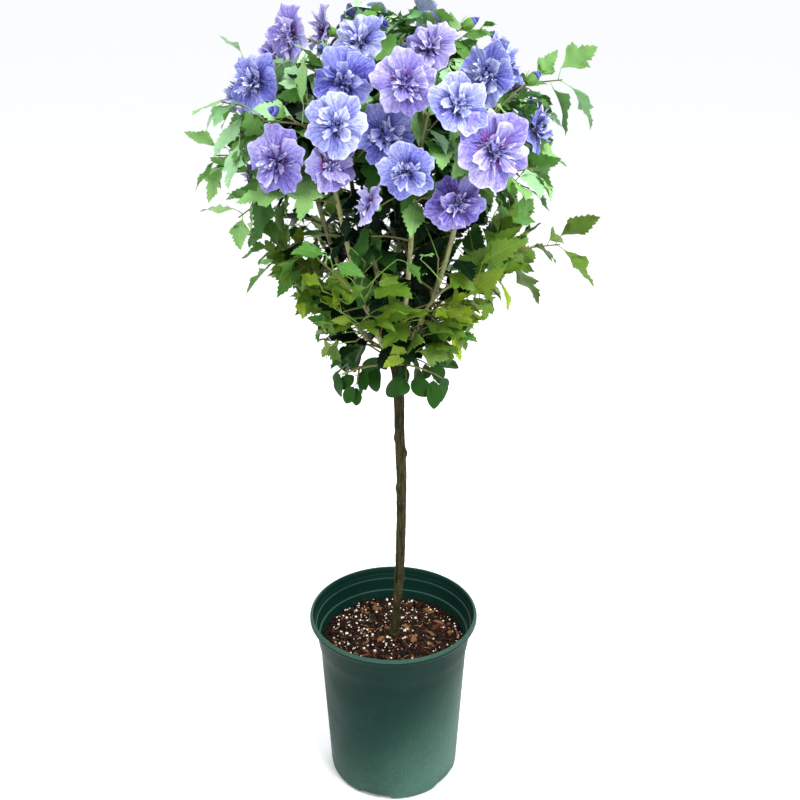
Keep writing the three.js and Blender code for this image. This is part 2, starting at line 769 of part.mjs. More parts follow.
function buildShrub() {
  const shrub = new THREE.Group();
  shrub.name = "hibiscus_shrub";
  addMesh(shrub, "pot", potSolid(), "pot");
  addMesh(shrub, "potting_mix", mixSolid(), "mix");
  addMesh(shrub, "trunk", trunkSolid(), "bark");

  const shoots = listShoots();
  const blooms = listBlooms();
  const targets = listTargets(shoots, blooms);
  const trunk = asObstacle(trunkSolid(GAP));
  const caned = shoots.filter((shoot) => shoot.cane);
  const limbs = caned.map((shoot) => asObstacle(caneSolid(shoot, 2 * GAP)));
  limbs.push(trunk);
  const obstacles = blooms.map((bloom) => ({
    ...asObstacle(bloomSolid(bloom, 1.04)),
    shoot: bloom.shoot,
  }));
  const crown = { shoots, targets, limbs, blooms: obstacles, bearers: [], trunk };
  for (const shoot of shoots) growBearers(shoot, crown);

  for (const shoot of caned) {
    addMesh(shrub, "bough_" + shoot.name, caneSolid(shoot).subtract(trunk.solid), "cane");
  }
  for (const shoot of shoots) {
    addMesh(shrub, "foliage_" + shoot.name, growMass(shoot, crown), "foliage");
  }
  return shrub;
}

export default buildShrub();
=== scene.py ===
"""A potted hibiscus grown as a standard: nursery pot, potting mix, stem, canes, twigs, leaves and
double blooms. Metres, +Z up, the origin in the middle of the pot's flat underside. Azimuths are
degrees from the front (-Y) towards the right (+X)."""

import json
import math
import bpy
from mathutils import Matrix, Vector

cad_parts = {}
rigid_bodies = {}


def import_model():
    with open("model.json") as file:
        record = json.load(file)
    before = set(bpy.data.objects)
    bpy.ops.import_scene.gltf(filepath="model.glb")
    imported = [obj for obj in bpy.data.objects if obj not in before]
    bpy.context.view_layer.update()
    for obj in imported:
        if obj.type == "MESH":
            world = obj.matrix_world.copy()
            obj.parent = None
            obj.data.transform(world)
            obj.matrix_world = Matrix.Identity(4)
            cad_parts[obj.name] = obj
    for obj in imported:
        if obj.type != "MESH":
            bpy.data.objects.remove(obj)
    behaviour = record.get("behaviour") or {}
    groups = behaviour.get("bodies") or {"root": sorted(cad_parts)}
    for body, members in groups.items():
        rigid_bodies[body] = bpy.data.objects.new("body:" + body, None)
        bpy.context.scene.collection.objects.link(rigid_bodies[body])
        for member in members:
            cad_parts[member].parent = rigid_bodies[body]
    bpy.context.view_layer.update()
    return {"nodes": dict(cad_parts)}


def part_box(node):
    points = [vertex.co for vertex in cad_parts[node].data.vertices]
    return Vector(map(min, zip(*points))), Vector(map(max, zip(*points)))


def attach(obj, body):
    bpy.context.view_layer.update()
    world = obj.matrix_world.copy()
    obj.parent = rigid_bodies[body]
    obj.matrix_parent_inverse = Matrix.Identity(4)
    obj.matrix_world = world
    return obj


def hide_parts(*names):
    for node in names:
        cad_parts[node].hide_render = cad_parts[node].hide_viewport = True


bl_info = {
    "name": "Potted Hibiscus Standard",
    "version": (1, 0, 0),
    "blender": (4, 5, 0),
    "location": "3D View > Sidebar > Hibiscus",
    "description": "Grows a hibiscus standard in its nursery pot round the solid model's frame",
    "category": "Add Mesh",
}

from functools import lru_cache
from itertools import product

import bpy
import numpy as np
from bpy.props import FloatProperty, FloatVectorProperty, IntProperty, PointerProperty
from mathutils import Quaternion, Vector, noise

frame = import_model()
POT_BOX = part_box("pot")
MIX_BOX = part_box("potting_mix")

# ------------------------------------------------------------------ the plant's named sizes

UP = Vector((0, 0, 1))
GOLDEN_ANGLE = math.radians(137.5)
HEAD = Vector((0.003, 0, 0.776))  # the swollen top of the stem, which the canes leave

# The stem: height, sideways place, radius.
TRUNK_LINE = (
    (0.2625, 0.0014, 0.0088),
    (0.270, 0.0020, 0.0077),
    (0.310, 0.0048, 0.0072),
    (0.370, 0.0097, 0.0075),
    (0.430, 0.0119, 0.0077),
    (0.490, 0.0130, 0.0078),
    (0.555, 0.0139, 0.0079),
    (0.590, 0.0124, 0.0078),
    (0.625, 0.0107, 0.0078),
    (0.660, 0.0099, 0.0079),
    (0.693, 0.0098, 0.0080),
    (0.722, 0.0082, 0.0082),
    (0.748, 0.0050, 0.0086),
    (0.790, 0.0030, 0.0080),
)
HEAD_SWELL = 0.0084
HEAD_SPREAD = 0.017
# Pruning scars: height, azimuth, size.
KNOTS = (
    (0.285, 0, 0.0013),
    (0.371, 100, 0.0019),
    (0.380, -95, 0.0022),
    (0.541, -90, 0.0020),
    (0.603, 90, 0.0030),
    (0.629, -90, 0.0020),
)
KNOT_SPREAD = 0.007

# Tiers of shoots. Each is a bare cane from the head, then a leafy stem. Places are (radius, height).
TIERS = {
    "outer": {
        "rank": 1, "count": 7, "first": 12, "rise": 34, "lead": 0.078, "end": (0.106, 1.000),
        "tip": (0.192, 1.192), "lean": (0.030, 0.080), "radius": (0.0038, 0.0034),
        "site": (0.160, 1.085), "twigs": 8, "twig": 0.105, "leaf": 0.064,
    },
    "inner": {
        "rank": 2, "count": 3, "first": 50, "rise": 67, "lead": 0.080, "end": (0.034, 1.030),
        "tip": (0.060, 1.232), "lean": (0.008, 0.090), "radius": (0.0034, 0.0032),
        "site": (0.056, 1.150), "twigs": 8, "twig": 0.090, "leaf": 0.060,
    },
    "lower": {
        "rank": 3, "count": 6, "first": 35, "rise": 2, "lead": 0.036, "end": (0.058, 0.824),
        "tip": (0.164, 0.926), "lean": (0.044, 0.042), "radius": (0.0032, 0.0030),
        "site": (0.104, 0.880), "twigs": 12, "twig": 0.082, "leaf": 0.065,
    },
    "skirt": {
        "rank": 4, "count": 4, "first": 42, "rise": None, "end": (0.003, 0.752),
        "tip": (0.100, 0.764), "lean": (0.040, 0.016), "radius": (0.0016, 0.0014),
        "site": (0.062, 0.748), "twigs": 2, "twig": 0.044, "leaf": 0.035,
    },
}
STEM_TIP_RADIUS = 0.0015
TWIG_RADIUS = (0.0016, 0.0010)
TWIGLET_RADIUS = (0.0010, 0.0006)
# The share of each kind of limb that is without leaves at its foot.
BARE = {"stem": 0.12, "bearer": 0.2, "tip": 0.2, "twig": 0.25, "core": 0.25, "twiglet": 0.25}
NODE_SPACING = 0.030  # between the leaf scars of a cane
CORE_TWIGS = 6  # shaded twigs on each cane

# The crown's outline: height, radius.
CROWN_OUTLINE = (
    (0.705, 0.110),
    (0.770, 0.114),
    (0.823, 0.138),
    (0.885, 0.172),
    (0.945, 0.208),
    (1.000, 0.240),
    (1.060, 0.256),
    (1.140, 0.258),
    (1.185, 0.240),
    (1.225, 0.200),
    (1.252, 0.150),
    (1.270, 0.100),
)
CROWN_TOP = 1.268

# Blooms on the front: azimuth, radius, height, the azimuth and rise of the face, relative size,
# colour family (0 bluer, 1 pinker), shade (-1 dark to 1 pale).
FRONT_BLOOMS = (
    (-71, 0.190, 1.173, -34, 18, 1.06, 0, -0.1),
    (-20, 0.172, 1.185, -12, 14, 1.04, 0, -0.4),
    (5, 0.192, 1.186, 2, 10, 1.00, 1, 0.1),
    (-16, 0.234, 1.142, -10, 12, 0.94, 0, 1.0),
    (-3, 0.158, 1.120, 8, 2, 1.00, 0, -0.2),
    (-46, 0.205, 1.085, -24, 8, 1.08, 1, 0.0),
    (-30, 0.158, 1.080, 42, 6, 0.95, 1, 0.3),
    (22, 0.214, 1.162, 16, 18, 0.94, 0, 0.6),
    (32, 0.236, 1.110, 20, 8, 1.20, 1, 0.3),
    (25, 0.192, 1.036, 14, -6, 0.98, 1, -0.8),
    (5, 0.222, 1.087, -8, -16, 0.92, 0, 0.2),
    (76, 0.200, 1.112, 72, 4, 0.92, 0, -0.5),
    (42, 0.178, 1.189, -38, 10, 1.00, 0, 0.2),
    (-72, 0.140, 1.229, -52, 6, 0.96, 1, 0.3),
    (-22, 0.104, 1.226, -34, 40, 1.00, 0, 0.7),
    (34, 0.088, 1.219, -30, 40, 0.95, 1, 0.4),
    (84, 0.152, 1.192, 70, 30, 0.90, 0, 0.0),
    (-8, 0.196, 1.042, -86, 26, 0.80, 1, 0.5),
)
# The same density round the sides and back: height, radius, how many, stagger.
BACK_ROWS = (
    (1.040, 0.194, 3, 0.7),
    (1.098, 0.220, 5, 0.25),
    (1.150, 0.210, 5, 0.7),
    (1.200, 0.164, 4, 0.45),
    (1.238, 0.094, 3, 0.7),
)
BACK_ARC = (102, 278)  # the azimuths between which they stand
PETALS = 5  # outer petals of a bloom, and its sepals
PETAL_TURN = 72  # degrees from one to the next

# Buds: azimuth, radius, height, and how far the petals show (0 closed, 1 half out).
BUDS = (
    (-42, 0.200, 1.158, 0.8),
    (-38, 0.132, 1.232, 0.1),
    (-20, 0.056, 1.250, 0.5),
    (77, 0.096, 1.252, 0.3),
    (72, 0.186, 1.186, 1.0),
    (150, 0.120, 1.240, 0.4),
    (205, 0.200, 1.120, 0.8),
    (250, 0.165, 1.215, 0.2),
)
BUD_LENGTH = 0.026
BUD_SIDES, BUD_STEPS, BUD_SEPALS = 12, 12, 7

# Long leafy twigs that stand out of the head: azimuth, radius, height of their tips.
LONG_TWIGS = (
    (-84, 0.232, 1.142),
    (-90, 0.248, 1.066),
    (-95, 0.206, 1.196),
    (-83, 0.218, 0.984),
    (-75, 0.170, 0.944),
    (90, 0.232, 1.168),
    (76, 0.176, 1.034),
    (94, 0.246, 0.934),
    (82, 0.160, 0.896),
    (135, 0.238, 1.060),
    (180, 0.236, 0.980),
    (228, 0.236, 1.110),
    (160, 0.232, 1.164),
)

# Where leaves and twigs may go.
FRONT = np.array((0.0, -0.92, 0.39))  # the way that the front blooms look
LEAF_TRIES = 8  # headings tried before a leaf is left out
LEAF_MARKS = ((0.1, 0), (0.45, -0.3), (0.45, 0.3), (0.7, 0), (1.0, 0))  # tested places of a blade
LEAF_APART = 0.26  # of a leaf's length, from its middle to the next one's
LEAF_CELL = 0.04  # of the grid in which a leaf's neighbours are looked up
LOWEST_LOBED = 0.775  # the height that toothed leaves hang down to
TWIG_INSET = 0.012  # how far inside the crown's outline twigs end
LEAF_VIEW = 0.07  # the depth in front of a bloom that leaves keep out of
LIMB_VIEW = 0.08  # the same for twigs
BLOOM_BACK = 0.014  # the depth behind a bloom's middle that both keep out of
BLOOM_WIDTH = 0.92  # of a bloom's reach, for that space
HIDDEN_WIDTH = 0.8  # of its reach, for what may not lie before it
BUD_CLEAR = 0.028  # round a bud
CANE_CLEAR = 0.013  # to each side of a front cane
CANE_MARKS = [k / 14 for k in range(4, 15)]  # tested places of a front cane
CANE_BACK = 0.03  # the depth behind which canes don't count as front ones
COVERING_LEAVES = 0.3  # the share of leaves that may hang before the front canes
# The share of leaves left out in the crown's skin above and below a height, and in its middle depth
# below another. Both depths start at a share of the crown's radius.
SKIN_FROM, THINNED_SKIN_FROM, THINNED_SKIN, THINNED_LOW_SKIN = 0.8, 0.86, 0.66, 0.25
MIDDLE_FROM, MIDDLE_TOP, THINNED_MIDDLE = 0.45, 1.03, 0.6
TUFT = 2  # leaves at a twig's end
TUFT_PLACE = 0.97
YOUNG_LEAF = 0.62  # the size of those on a twiglet
BEARER_SPACING = 1.7  # against the plain spacing of leaves
FRINGE_SPACING = 2.0
BEARER_DROP = 0.062  # from a bloom or bud down to where its twig leaves the stem

# ------------------------------------------------------------------ colours


def colour(code):
    """A six-digit screen colour as the linear red, green, blue and alpha that shaders take."""
    shares = [int(code[i : i + 2], 16) / 255 for i in (0, 2, 4)]
    linear = [s / 12.92 if s <= 0.04045 else ((s + 0.055) / 1.055) ** 2.4 for s in shares]
    return (*linear, 1.0)


def colours(*codes):
    return tuple(map(colour, codes))


# The ribs of leaves. Each green is a blade's colour, the number of its ribs' colour, and its gloss.
VEINS = colours("a2cc92", "6fa352", "3c7232", "1a3318", "748f30")
# The mint green is a painted light for leaves lit from above; the shade green is a painted shade for leaves
# deep in the crown.
GREENS = {
    "mint": (colour("9ac794"), 0, 0.25),
    "fresh": (colour("84b464"), 0, 0.25),
    "leaf": (colour("538436"), 1, 0.25),
    "deep": (colour("345f24"), 2, 0.16),
    "shade": (colour("0b1f0e"), 3, 0.07),
    "olive": (colour("667e16"), 4, 0.25),
    "lime": (colour("88a428"), 4, 0.25),
    "moss": (colour("52731d"), 4, 0.25),
    "fringe": (colour("1c440d"), 3, 0.1),
}
GREEN_NAMES = tuple(GREENS)
# Sprays below a height and deeper in the crown than a share are shaded. The others take the first
# row that they are above. A lot from 0 to 1 gives the first green whose number is above it.
SHADED = ((1.18, 0.42), (0.98, 0.34))
SHADED_LOTS = ((0.85, "shade"), (1, "deep"))
# The top row, mostly mint and fresh green, is a painted light from above.
GREEN_LOTS = (
    (1.1, ((0.4, "mint"), (0.76, "fresh"), (0.94, "leaf"), (1, "deep"))),
    (0.94, ((0.34, "fresh"), (0.7, "leaf"), (0.86, "deep"), (1, "mint"))),
    (0.0, ((0.3, "olive"), (0.66, "moss"), (0.7, "lime"), (1, "deep"))),
)
GREEN_ROW = ("mint", "fresh", "leaf", "deep", "shade")  # from light to dark
STRAY_LEAVES = 0.3  # the share of leaves that take a neighbour of their spray's green
MINTY_FROM = 1.06  # a minty leaf below this height is fresh green
# Above each height, a leaf further out than the share isn't dark: it is leaf green above
# UNSHADED_FROM and mossy below.
LIT = ((1.16, 0), (0.9, 0.72), (0, 0.56))
UNSHADED_FROM = 0.94
# Petal colours from the deepest to the palest, in a bluer and a pinker family.
BLUE_PETALS = colours("241e62", "414098", "6063b4", "7b80c7", "979dd3", "b2b7e2", "cbcfee", "e6e8f8")
PINK_PETALS = colours("301d60", "514398", "7066b5", "8a81c6", "a39dd4", "bcb6e2", "d1cced", "e9e6f7")
EYE, THROAT, STAMEN, SEPAL = colours("7a1248", "a04f9f", "f2e6c8", "5f8f3c")
# The slots of a bloom, in the order of bloom_skins.
EYE_SLOT, THROAT_SLOT, PETAL_SLOT = range(3)
STAMEN_SLOT = PETAL_SLOT + len(BLUE_PETALS) + len(PINK_PETALS)
SEPAL_SLOT = STAMEN_SLOT + 1
STEM_BARK, TWIG_BARK, TWIG_GREEN = colours("90915f", "6d6840", "6f8f42")

# ------------------------------------------------------------------ settings that a user may change


def length_property(name, description, default):
    return FloatProperty(name=name, description=description, default=default, min=0, unit="LENGTH")


def colour_property(name, description, code):
    return FloatVectorProperty(
        name=name, description=description, default=colour(code), size=4, min=0, max=1, subtype="COLOR"
    )


def count_property(name, description, default):
    return IntProperty(name=name, description=description, default=default, min=0)


def factor_property(name, description, default):
    return FloatProperty(name=name, description=description, default=default, min=0)


class PotSettings(bpy.types.PropertyGroup):
    rim_radius: length_property("Rim radius", "Outside of the rolled lip", POT_BOX[1][0])
    height: length_property("Height", "Underside to the top of the lip", POT_BOX[1][2])
    wall: length_property("Wall", "Thickness of the moulded wall", 0.0024)
    lip_depth: length_property("Lip depth", "Height of the rolled lip", 0.012)
    notch_height: length_property("Notch height", "Height of the drain notches", 0.010)
    notches: count_property("Notches", "Drain notches round the base", 5)
    plastic: colour_property("Plastic", "Colour of the moulded plastic", "0a2f27")
    # The scuff colour is also used for the painted light on the lower right and the painted highlight on
    # the lip and ledges.
    scuff_and_painted_light: colour_property("Scuffs", "Colour of rubbed and dusty places", "5c8474")


class MixSettings(bpy.types.PropertyGroup):
    lumps: length_property("Lumps", "Height of the lumps in the surface", 0.0028)
    chips: count_property("Bark chips", "Bark chips on the surface", 260)
    beads: count_property("Perlite", "Perlite beads on the surface", 340)
    crumbs: count_property("Crumbs", "Loose crumbs of bark and peat", 1200)
    fibres: count_property("Fibres", "Root and peat fibres", 90)
    peat: colour_property("Peat", "Colour of the fine mix", "090605")
    crumb: colour_property("Brown peat", "Colour of the mix's coarser parts", "22150c")


class BarkSettings(bpy.types.PropertyGroup):
    relief: length_property("Relief", "Depth of the furrows in the stem's bark", 0.0007)
    trunk: colour_property("Stem bark", "Colour of the old bark", "39341c")
    furrow: colour_property("Furrows", "Colour in the furrows", "1a170d")
    cane: colour_property("Cane bark", "Colour of the young canes", "adac7e")


class LeafSettings(bpy.types.PropertyGroup):
    spacing: length_property("Spacing", "Length of twig for each leaf", 0.019)
    size: factor_property("Size", "Leaf length against its tier's own", 1.0)
    twiglets: count_property("Twiglets", "Side twigs on each twig", 3)


class BloomSettings(bpy.types.PropertyGroup):
    radius: length_property("Radius", "Middle of a bloom to its petals' edge", 0.040)
    inner: count_property("Inner petals", "Short petals round the middle", 5)
    petaloids: count_property("Petaloids", "Narrow ruffles in the middle", 80)


class StageSettings(bpy.types.PropertyGroup):
    floor: colour_property("Floor", "Colour of the floor", "fcfcfc")
    key: factor_property("Key light", "Power of the large soft light in watts", 104)
    sky: factor_property("Surround", "Strength of the pale surround", 1.0)


SETTING_GROUPS = {
    "hibiscus_pot": PotSettings,
    "hibiscus_mix": MixSettings,
    "hibiscus_bark": BarkSettings,
    "hibiscus_leaf": LeafSettings,
    "hibiscus_bloom": BloomSettings,
    "hibiscus_stage": StageSettings,
}


def settings(name):
    return getattr(bpy.context.scene, "hibiscus_" + name)


# ------------------------------------------------------------------ shader maths


class Value:
    """A shader socket that takes part in sums: each operator adds its Math node."""

    def __init__(self, finish, socket):
        self.finish = finish
        self.socket = socket

    def maths(self, operation, first, second):
        return self.finish.node("ShaderNodeMath", {"operation": operation}, {0: first, 1: second})

    def __add__(self, other):
        return self.maths("ADD", self, other)

    def __sub__(self, other):
        return self.maths("SUBTRACT", self, other)

    def __rsub__(self, other):
        return self.maths("SUBTRACT", other, self)

    def __mul__(self, other):
        return self.maths("MULTIPLY", self, other)

    __radd__ = __add__
    __rmul__ = __mul__


class Finish:
    """A material whose nodes are added one by one."""

    def __init__(self, name):
        self.material = bpy.data.materials.new(name)
        self.material.use_nodes = True
        self.tree = self.material.node_tree
        self.tree.nodes.clear()

    def node(self, kind, options=None, sockets=None, output=0):
        """Adds a node: its options first, then its sockets' values or links."""
        node = self.tree.nodes.new(kind)
        for name, value in (options or {}).items():
            setattr(node, name, value)
        for key, value in (sockets or {}).items():
            if isinstance(value, Value):
                self.tree.links.new(value.socket, node.inputs[key])
            else:
                node.inputs[key].default_value = value
        return Value(self, node.outputs[output]) if node.outputs else None

    def place(self):
        return self.node("ShaderNodeTexCoord", output="Object")

    def sideways(self, place):
        return self.node("ShaderNodeSeparateXYZ", None, {0: place}, "X")

    def height(self, place):
        return self.node("ShaderNodeSeparateXYZ", None, {0: place}, "Z")

    def stretched(self, place, scale):
        options = {"operation": "MULTIPLY"}
        return self.node("ShaderNodeVectorMath", options, {0: place, 1: scale})

    def cloud(self, place, scale, detail=3.0, roughness=0.55):
        sockets = {"Vector": place, "Scale": scale, "Detail": detail, "Roughness": roughness}
        return self.node("ShaderNodeTexNoise", None, sockets)

    def cells(self, place, scale):
        return self.node("ShaderNodeTexVoronoi", None, {"Vector": place, "Scale": scale})

    def band(self, value, low, high, start=0.0, end=1.0):
        """start up to low, end from high on, and a smooth rise between them."""
        options = {"interpolation_type": "SMOOTHSTEP"}
        sockets = {"Value": value, "From Min": low, "From Max": high, "To Min": start, "To Max": end}
        return self.node("ShaderNodeMapRange", options, sockets)

    def blend(self, first, second, share):
        """The first colour, going over to the second as the share rises."""
        return self.node("ShaderNodeMix", {"data_type": "RGBA"}, {0: share, 6: first, 7: second}, 2)

    def relief(self, height, depth, strength=1.0):
        sockets = {"Height": height, "Distance": depth, "Strength": strength}
        return self.node("ShaderNodeBump", None, sockets)

    def done(self, **sockets):
        """The surface itself. Names are the shader's own, with _ for a space."""
        named = {name.replace("_", " "): value for name, value in sockets.items()}
        surface = self.node("ShaderNodeBsdfPrincipled", None, named)
        self.node("ShaderNodeOutputMaterial", None, {"Surface": surface})
        return self.material


# ------------------------------------------------------------------ materials


def pot_plastic(name, painted_highlight):
    look = settings("pot")
    finish = Finish(name)
    place = finish.place()
    mottle = finish.cloud(place, 9.0, 4.0)
    streaks = finish.cloud(finish.stretched(place, (60.0, 60.0, 18.0)), 1.0, 5.0, 0.65)
    height, side = finish.height(place), finish.sideways(place)
    # A painted light: the plastic goes paler towards the bottom on the right, broken up by the mottle.
    painted_light_low_right = finish.band(side * 0.9 - height, -0.2, 0.06) * finish.band(mottle, 0.3, 0.62, 0.6, 1)
    rubbed = finish.band(streaks, 0.52, 0.74) * finish.band(mottle, 0.42, 0.62)
    specks = 1 - finish.band(finish.cells(place, 130.0), 0.05, 0.13)
    dusty = specks * finish.band(finish.cloud(place, 26.0), 0.5, 0.58)
    # Darker in random mottles, and darker towards the top as a painted shade.
    darker = finish.band(mottle, 0.35, 0.7) * 0.4 + finish.band(height, 0.15, 0.27) * 0.6
    shaded = finish.blend(tuple(look.plastic), colour("05251e"), darker)
    with_painted_light_low_right = finish.blend(shaded, tuple(look.scuff_and_painted_light), painted_light_low_right * 0.6)
    # Rubbed streaks, and on the lip's top and the inner ledges a painted highlight.
    rubbed_and_highlit = finish.blend(with_painted_light_low_right, tuple(look.scuff_and_painted_light), rubbed * 0.05 + painted_highlight)
    pits = finish.band(finish.cloud(place, 420.0, 2.0), 0.4, 0.66)
    grained = finish.blend(rubbed_and_highlit, colour("06211c"), pits * 0.3)
    dotted = finish.blend(grained, colour("10201a"), dusty * 0.8)
    grain = finish.cloud(place, 900.0, 2.0) + finish.cloud(place, 60.0, 3.0) * 1.6
    return finish.done(
        Base_Color=dotted,
        Roughness=finish.band(mottle, 0.3, 0.75, 0.4, 0.54) + rubbed * 0.14,
        Specular_IOR_Level=0.09,
        Normal=finish.relief(grain, 0.0005, 0.6),
    )


def peat_crumbs():
    look = settings("mix")
    finish = Finish("peat_crumbs")
    place = finish.place()
    clods = finish.cloud(place, 130.0, 6.0, 0.7)
    crumbs = finish.cells(place, 420.0)
    brown = finish.blend(tuple(look.peat), tuple(look.crumb), finish.band(clods, 0.45, 0.75))
    flecked = finish.blend(brown, colour("5e3c28"), finish.band(crumbs, 0.55, 0.7) * 0.4)
    return finish.done(
        Base_Color=flecked,
        Roughness=finish.band(clods, 0.3, 0.7, 0.75, 0.98),
        Specular_IOR_Level=0.1,
        Normal=finish.relief(clods + crumbs * 0.5, 0.0022),
    )


def plain_skin(name, shade, rough, gloss, grain, relief, **sockets):
    """One plain colour with a fine grain: the grain's scale and detail, the relief's depth and strength."""
    finish = Finish(name)
    normal = finish.relief(finish.cloud(finish.place(), *grain), *relief)
    return finish.done(
        Base_Color=shade, Roughness=rough, Specular_IOR_Level=gloss, Normal=normal, **sockets
    )


def plain_crumb(name, code, rough):
    return plain_skin(name, colour(code), rough, 0.1, (700.0, 3.0), (0.0005,))


def stem_bark():
    look = settings("bark")
    finish = Finish("stem_bark")
    place = finish.place()
    streak = finish.cloud(finish.stretched(place, (260.0, 260.0, 34.0)), 1.0, 6.0, 0.62)
    patch = finish.cloud(finish.stretched(place, (60.0, 60.0, 16.0)), 1.0, 4.0)
    pores = 1 - finish.band(finish.cells(finish.stretched(place, (1.0, 1.0, 0.45)), 210.0), 0.08, 0.2)
    bark = finish.blend(tuple(look.furrow), tuple(look.trunk), finish.band(streak, 0.36, 0.6))
    mossy = finish.blend(bark, colour("363e22"), finish.band(patch, 0.5, 0.68) * 0.55)
    pored = finish.blend(mossy, colour("6b6249"), pores * finish.band(patch, 0.3, 0.5) * 0.7)
    height, side = finish.height(place), finish.sideways(place)
    scar = finish.band(height, 0.326, 0.334) * (1 - finish.band(height, 0.338, 0.347))
    reddish = scar * (1 - finish.band(side, 0.002, 0.007)) * finish.band(streak, 0.38, 0.55)
    scarred = finish.blend(pored, colour("8a4a32"), reddish * 0.7)
    return finish.done(
        Base_Color=scarred,
        Roughness=finish.band(patch, 0.3, 0.7, 0.72, 0.9),
        Specular_IOR_Level=0.12,
        Normal=finish.relief(streak + pores * 0.4, 0.0012, 0.8),
    )


def cane_bark():
    look = settings("bark")
    finish = Finish("cane_bark")
    place = finish.place()
    streak = finish.cloud(finish.stretched(place, (300.0, 300.0, 60.0)), 1.0, 5.0, 0.6)
    patch = finish.cloud(place, 22.0, 3.0)
    pale = finish.blend(colour("767850"), tuple(look.cane), finish.band(streak, 0.35, 0.62))
    weathered = finish.blend(pale, colour("b3ab88"), finish.band(patch, 0.52, 0.68) * 0.6)
    upper = finish.band(finish.height(place), 1.02, 1.2)
    greener = finish.blend(weathered, colour("8b9556"), upper * 0.55)
    return finish.done(
        Base_Color=greener,
        Roughness=0.7,
        Specular_IOR_Level=0.25,
        Normal=finish.relief(streak, 0.0006, 0.7),
    )


def leaf_skin(name, shade, rough, gloss=0.25):
    """A leaf's own plain colour, with the fine puckers between its veins."""
    return plain_skin(name, shade, rough, gloss, (260.0, 3.0), (0.0007, 0.6))


def petal_skin(name, shade):
    sheen = {"Sheen_Weight": 0.25, "Sheen_Roughness": 0.4}
    return plain_skin(name, shade, 0.62, 0.3, (330.0, 2.0), (0.0005, 0.5), **sheen)


# ------------------------------------------------------------------ mesh kit


class Bundle:
    """Corners and faces of many like things, gathered into one joined mesh."""

    def __init__(self):
        self.corners = []
        self.faces = []
        self.slots = []
        self.count = 0

    def add(self, corners, *blocks):
        """Adds corners (n, 3) and blocks of (faces, slot or one slot for each face)."""
        self.corners.append(np.asarray(corners, dtype=float))
        for faces, slot in blocks:
            self.faces.append(np.asarray(faces) + self.count)
            self.slots.append(np.broadcast_to(slot, len(faces)))
        self.count += len(corners)

    def piece(self, name, materials, smooth=True):
        mesh = bpy.data.meshes.new(name)
        faces = [face for block in self.faces for face in block.tolist()]
        mesh.from_pydata(np.concatenate(self.corners).tolist(), [], faces)
        for material in materials:
            mesh.materials.append(material)
        mesh.polygons.foreach_set("material_index", np.concatenate(self.slots).astype(np.int32))
        mesh.polygons.foreach_set("use_smooth", np.full(len(faces), smooth))
        mesh.update()
        made = bpy.data.objects.new(name, mesh)
        bpy.context.scene.collection.objects.link(made)
        return made


@lru_cache(maxsize=None)
def grid_faces(rows, columns, closed=False):
    """Quads between the corners of a grid, given row by row. closed joins its last column on."""
    faces = []
    for i in range(rows - 1):
        for j in range(columns if closed else columns - 1):
            k = (j + 1) % columns
            faces.append((i * columns + j, i * columns + k, (i + 1) * columns + k, (i + 1) * columns + j))
    return np.array(faces)


def any_across(direction):
    other = UP if abs(direction.z) < 0.9 else Vector((0, 1, 0))
    return direction.cross(other).normalized()


def round_turns(sides):
    return np.linspace(0, 2 * math.pi, sides, endpoint=False)


def rings_along(line, radius, sides, steps):
    """The corners of a round limb along a line, ring by ring. radius(share, turns) is in metres."""
    turns = round_turns(sides)
    across = any_across(line.tangent(0))
    rings = []
    for i in range(steps + 1):
        share = i / steps
        tangent = line.tangent(share)
        across = (across - tangent * across.dot(tangent)).normalized()
        second = tangent.cross(across)
        reach = np.broadcast_to(radius(share, turns), sides)
        round_it = np.outer(np.cos(turns) * reach, across) + np.outer(np.sin(turns) * reach, second)
        rings.append(np.array(line.point(share)) + round_it)
    return np.concatenate(rings)


def tube(bundle, line, radius, sides, steps, slot):
    """A round limb along a line, closed at both ends."""
    walls = grid_faces(steps + 1, sides, True)
    first, last = [list(range(sides))[::-1]], [[steps * sides + k for k in range(sides)]]
    bundle.add(rings_along(line, radius, sides, steps), (walls, slot), (first, slot), (last, slot))


def taper(first, last):
    return lambda share, turns: first + (last - first) * share


def turned(points, axis, angle):
    """Points (n, 3) turned about an axis, 0 for X to 2 for Z, through the origin."""
    axis = np.eye(3)[axis]
    along = np.outer(points @ axis, axis)
    return along + (points - along) * math.cos(angle) + np.cross(axis, points) * math.sin(angle)


# ------------------------------------------------------------------ the rule of growth


class Stream:
    """A repeatable stream of numbers from 0 to 1, the same as the solid model's."""

    def __init__(self, seed):
        self.state = seed & 0xFFFFFFFF

    def __call__(self):
        mask = 0xFFFFFFFF
        self.state = (self.state + 0x6D2B79F5) & mask
        t = self.state
        t = ((t ^ (t >> 15)) * (t | 1)) & mask
        t ^= (t + ((t ^ (t >> 7)) * (t | 61))) & mask
        return ((t ^ (t >> 14)) & mask) / 4294967296

    def between(self, low, high):
        return low + (high - low) * self()


class Bend:
    """A line from start to end that leans towards a middle point."""

    def __init__(self, start, middle, end):
        self.start, self.middle, self.end = start, middle, end

    def point(self, t):
        return self.start * (1 - t) ** 2 + self.middle * (2 * t * (1 - t)) + self.end * t * t

    def tangent(self, t):
        return ((self.middle - self.start) * (1 - t) + (self.end - self.middle) * t).normalized()

    def length(self):
        points = [self.point(i / 8) for i in range(9)]
        return sum((b - a).length for a, b in zip(points, points[1:]))

    def part(self, t):
        """The same line from its start to the share t."""
        return Bend(self.start, self.start.lerp(self.middle, t), self.point(t))


def arched(start, heading, reach, rise):
    """A line that rises a little over its straight way."""
    return Bend(start, start + heading * (reach * 0.5) + UP * rise, start + heading * reach)


